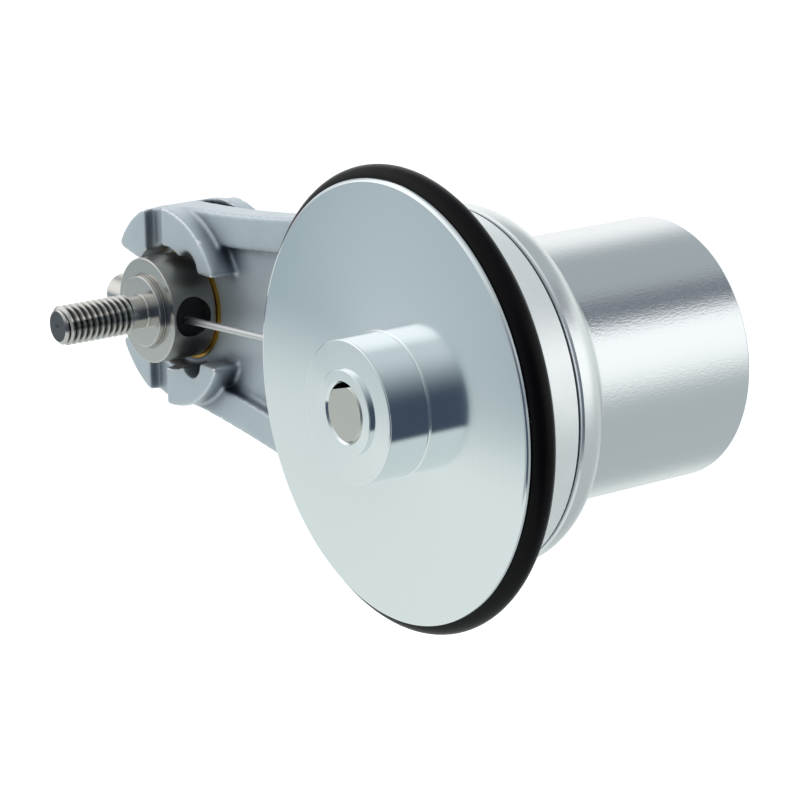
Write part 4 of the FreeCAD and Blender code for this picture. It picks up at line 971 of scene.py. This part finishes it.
def connector_barrel():
    """M12 plug shell: threaded barrel, collar saddled on the can, and the neck through its wall.

    It is built along Y, by distance from the encoder's axis, and then turned to face the pivot.
    """
    inner = WHEEL_X - SHELL_HIGH.x
    mouth = WHEEL_X - SHELL_LOW.x
    collar_top = mouth - BARREL_LENGTH
    collar_radius = SHELL_HIGH.z
    bm = screw_thread(BARREL_RADIUS, BARREL_PITCH, collar_top - SLIP, mouth)
    envelope = bmesh.new()
    turn(envelope, [
        (0, collar_top - 2 * SLIP),
        (BARREL_RADIUS + SLIP, collar_top - 2 * SLIP),
        (BARREL_RADIUS + SLIP, mouth - BARREL_CHAMFER),
        (BARREL_RADIUS - BARREL_CHAMFER, mouth),
        (0, mouth),
    ])
    combine(bm, envelope, "INTERSECT")
    collar = bmesh.new()
    turn(collar, [
        (0, inner),
        (collar_radius, inner),
        (collar_radius, collar_top, COLLAR_EDGE),
        (0, collar_top),
    ])
    saddle = bmesh.new()
    bar(saddle, CAN_RADIUS + SHELL_GASKET, (-CAN_RADIUS, 0, 0), (CAN_RADIUS, 0, 0), TURN_STEPS)
    combine(collar, saddle, "DIFFERENCE")
    combine(bm, collar, "UNION")
    neck = bmesh.new()
    bar(neck, SHELL_NECK_RADIUS, (0, inner, 0), (0, collar_top - SLIP, 0))
    combine(bm, neck, "UNION")
    bores = bmesh.new()
    turn(bores, [
        (0, inner - collar_radius),
        (SHELL_STEM_BORE, inner - collar_radius),
        (SHELL_STEM_BORE, collar_top),
        (BARREL_BORE, collar_top),
        (BARREL_BORE, mouth + collar_radius),
        (0, mouth + collar_radius),
    ])
    combine(bm, bores, "DIFFERENCE")
    to_pivot = Matrix.Rotation(math.radians(90), 3, "Z")
    bmesh.ops.rotate(bm, verts=bm.verts, cent=(0, 0, 0), matrix=to_pivot)
    bmesh.ops.translate(bm, verts=bm.verts, vec=(WHEEL_X, CONNECTOR_Y, 0))
    keep_faces_flat(to_piece(bm, "connector_barrel", "nickel_brass", "arm", "connector_shell"))


# Stage

def make_floor():
    """Plain pale floor, which polished metal doesn't mirror: the studio's own table card does that."""
    bm = bmesh.new()
    bmesh.ops.create_grid(bm, x_segments=1, y_segments=1, size=FLOOR_SIZE / 2)
    bmesh.ops.translate(bm, verts=bm.verts, vec=(0, 0, cad_low.z - FLOOR_DROP))
    floor = to_piece(bm, "floor", None, None)
    material, tree, shader, place = start_material("pale_floor_paint", Base_Color=linear("#F6F8F8"))
    grain = add(tree, "ShaderNodeTexNoise", inputs={"Vector": place, "Scale": 1 / (2 * MM)})
    roughness = add(tree, "ShaderNodeMapRange", inputs={
        "Value": grain.outputs["Fac"], "To Min": 0.8, "To Max": 0.9})
    tree.links.new(roughness.outputs["Result"], shader.inputs["Roughness"])
    floor.data.materials.append(material)
    floor.visible_glossy = False


def light_strength(hex_colour, strength):
    """A colour at a strength, for a light."""
    return tuple(strength * channel for channel in linear(hex_colour))


def light_surround():
    """A soft studio: a pale surround with white cards and dark gaps, plain white to the camera."""
    world = bpy.data.worlds.new("soft_studio")
    world.use_nodes = True
    tree = world.node_tree
    tree.nodes.clear()
    direction = add(tree, "ShaderNodeTexCoord").outputs["Generated"]
    shade = light_strength(*STUDIO_BASE)
    for towards, half_angle, edge, colour, strength in STUDIO_CARDS:
        facing = add(tree, "ShaderNodeVectorMath", {"operation": "DOT_PRODUCT"}, {
            0: direction, 1: Vector(towards).normalized()})
        cover = add(tree, "ShaderNodeMapRange", {"interpolation_type": "SMOOTHSTEP"}, {
            "Value": facing.outputs["Value"],
            "From Min": math.cos(math.radians(half_angle + edge)),
            "From Max": math.cos(math.radians(half_angle))})
        card = add(tree, "ShaderNodeMix", {"data_type": "RGBA"}, {
            "Factor": cover.outputs["Result"], COLOUR_A: shade,
            COLOUR_B: light_strength(colour, strength)})
        shade = card.outputs[COLOUR_OUT]
    studio = add(tree, "ShaderNodeBackground", inputs={"Color": shade})
    plain = add(tree, "ShaderNodeBackground", inputs={"Color": FULL_WHITE})
    seen = add(tree, "ShaderNodeLightPath").outputs["Is Camera Ray"]
    mixed = add(tree, "ShaderNodeMixShader", inputs={
        0: seen, 1: studio.outputs[0], 2: plain.outputs[0]})
    add(tree, "ShaderNodeOutputWorld", inputs={"Surface": mixed.outputs[0]})
    bpy.context.scene.world = world
    # Colours are shown as they are, so that the white backdrop stays white
    bpy.context.scene.view_settings.view_transform = "Standard"


def light_overhead():
    """A large soft lamp over the object, which polished metal doesn't mirror."""
    softbox = bpy.data.lights.new("overhead_softbox", "AREA")
    softbox.energy = LAMP_POWER
    softbox.shape = "DISK"
    softbox.size = LAMP_SIZE
    lamp = bpy.data.objects.new("overhead_softbox", softbox)
    lamp.location = (0, 0, LAMP_HEIGHT)
    lamp.visible_glossy = False
    bpy.context.scene.collection.objects.link(lamp)


def make_camera():
    """Camera at the photograph's viewing angle."""
    lens = bpy.data.cameras.new("camera")
    lens.lens = CAMERA_LENS_MM
    lens.sensor_width = CAMERA_SENSOR_MM
    camera = bpy.data.objects.new("camera", lens)
    right, up = Vector(CAMERA_RIGHT), Vector(CAMERA_UP)
    turned = Matrix((right, up, right.cross(up))).transposed()
    camera.matrix_world = Matrix.Translation(CAMERA_PLACE) @ turned.to_4x4()
    bpy.context.scene.collection.objects.link(camera)
    bpy.context.scene.camera = camera


finish_nodes()
cast_arm()
encoder_ring()
seam_ring()
wire_seat()
turned_wheel()
threaded_spindle()
bent_wire()
drawn_can()
connector_barrel()
make_floor()
light_surround()
light_overhead()
make_camera()
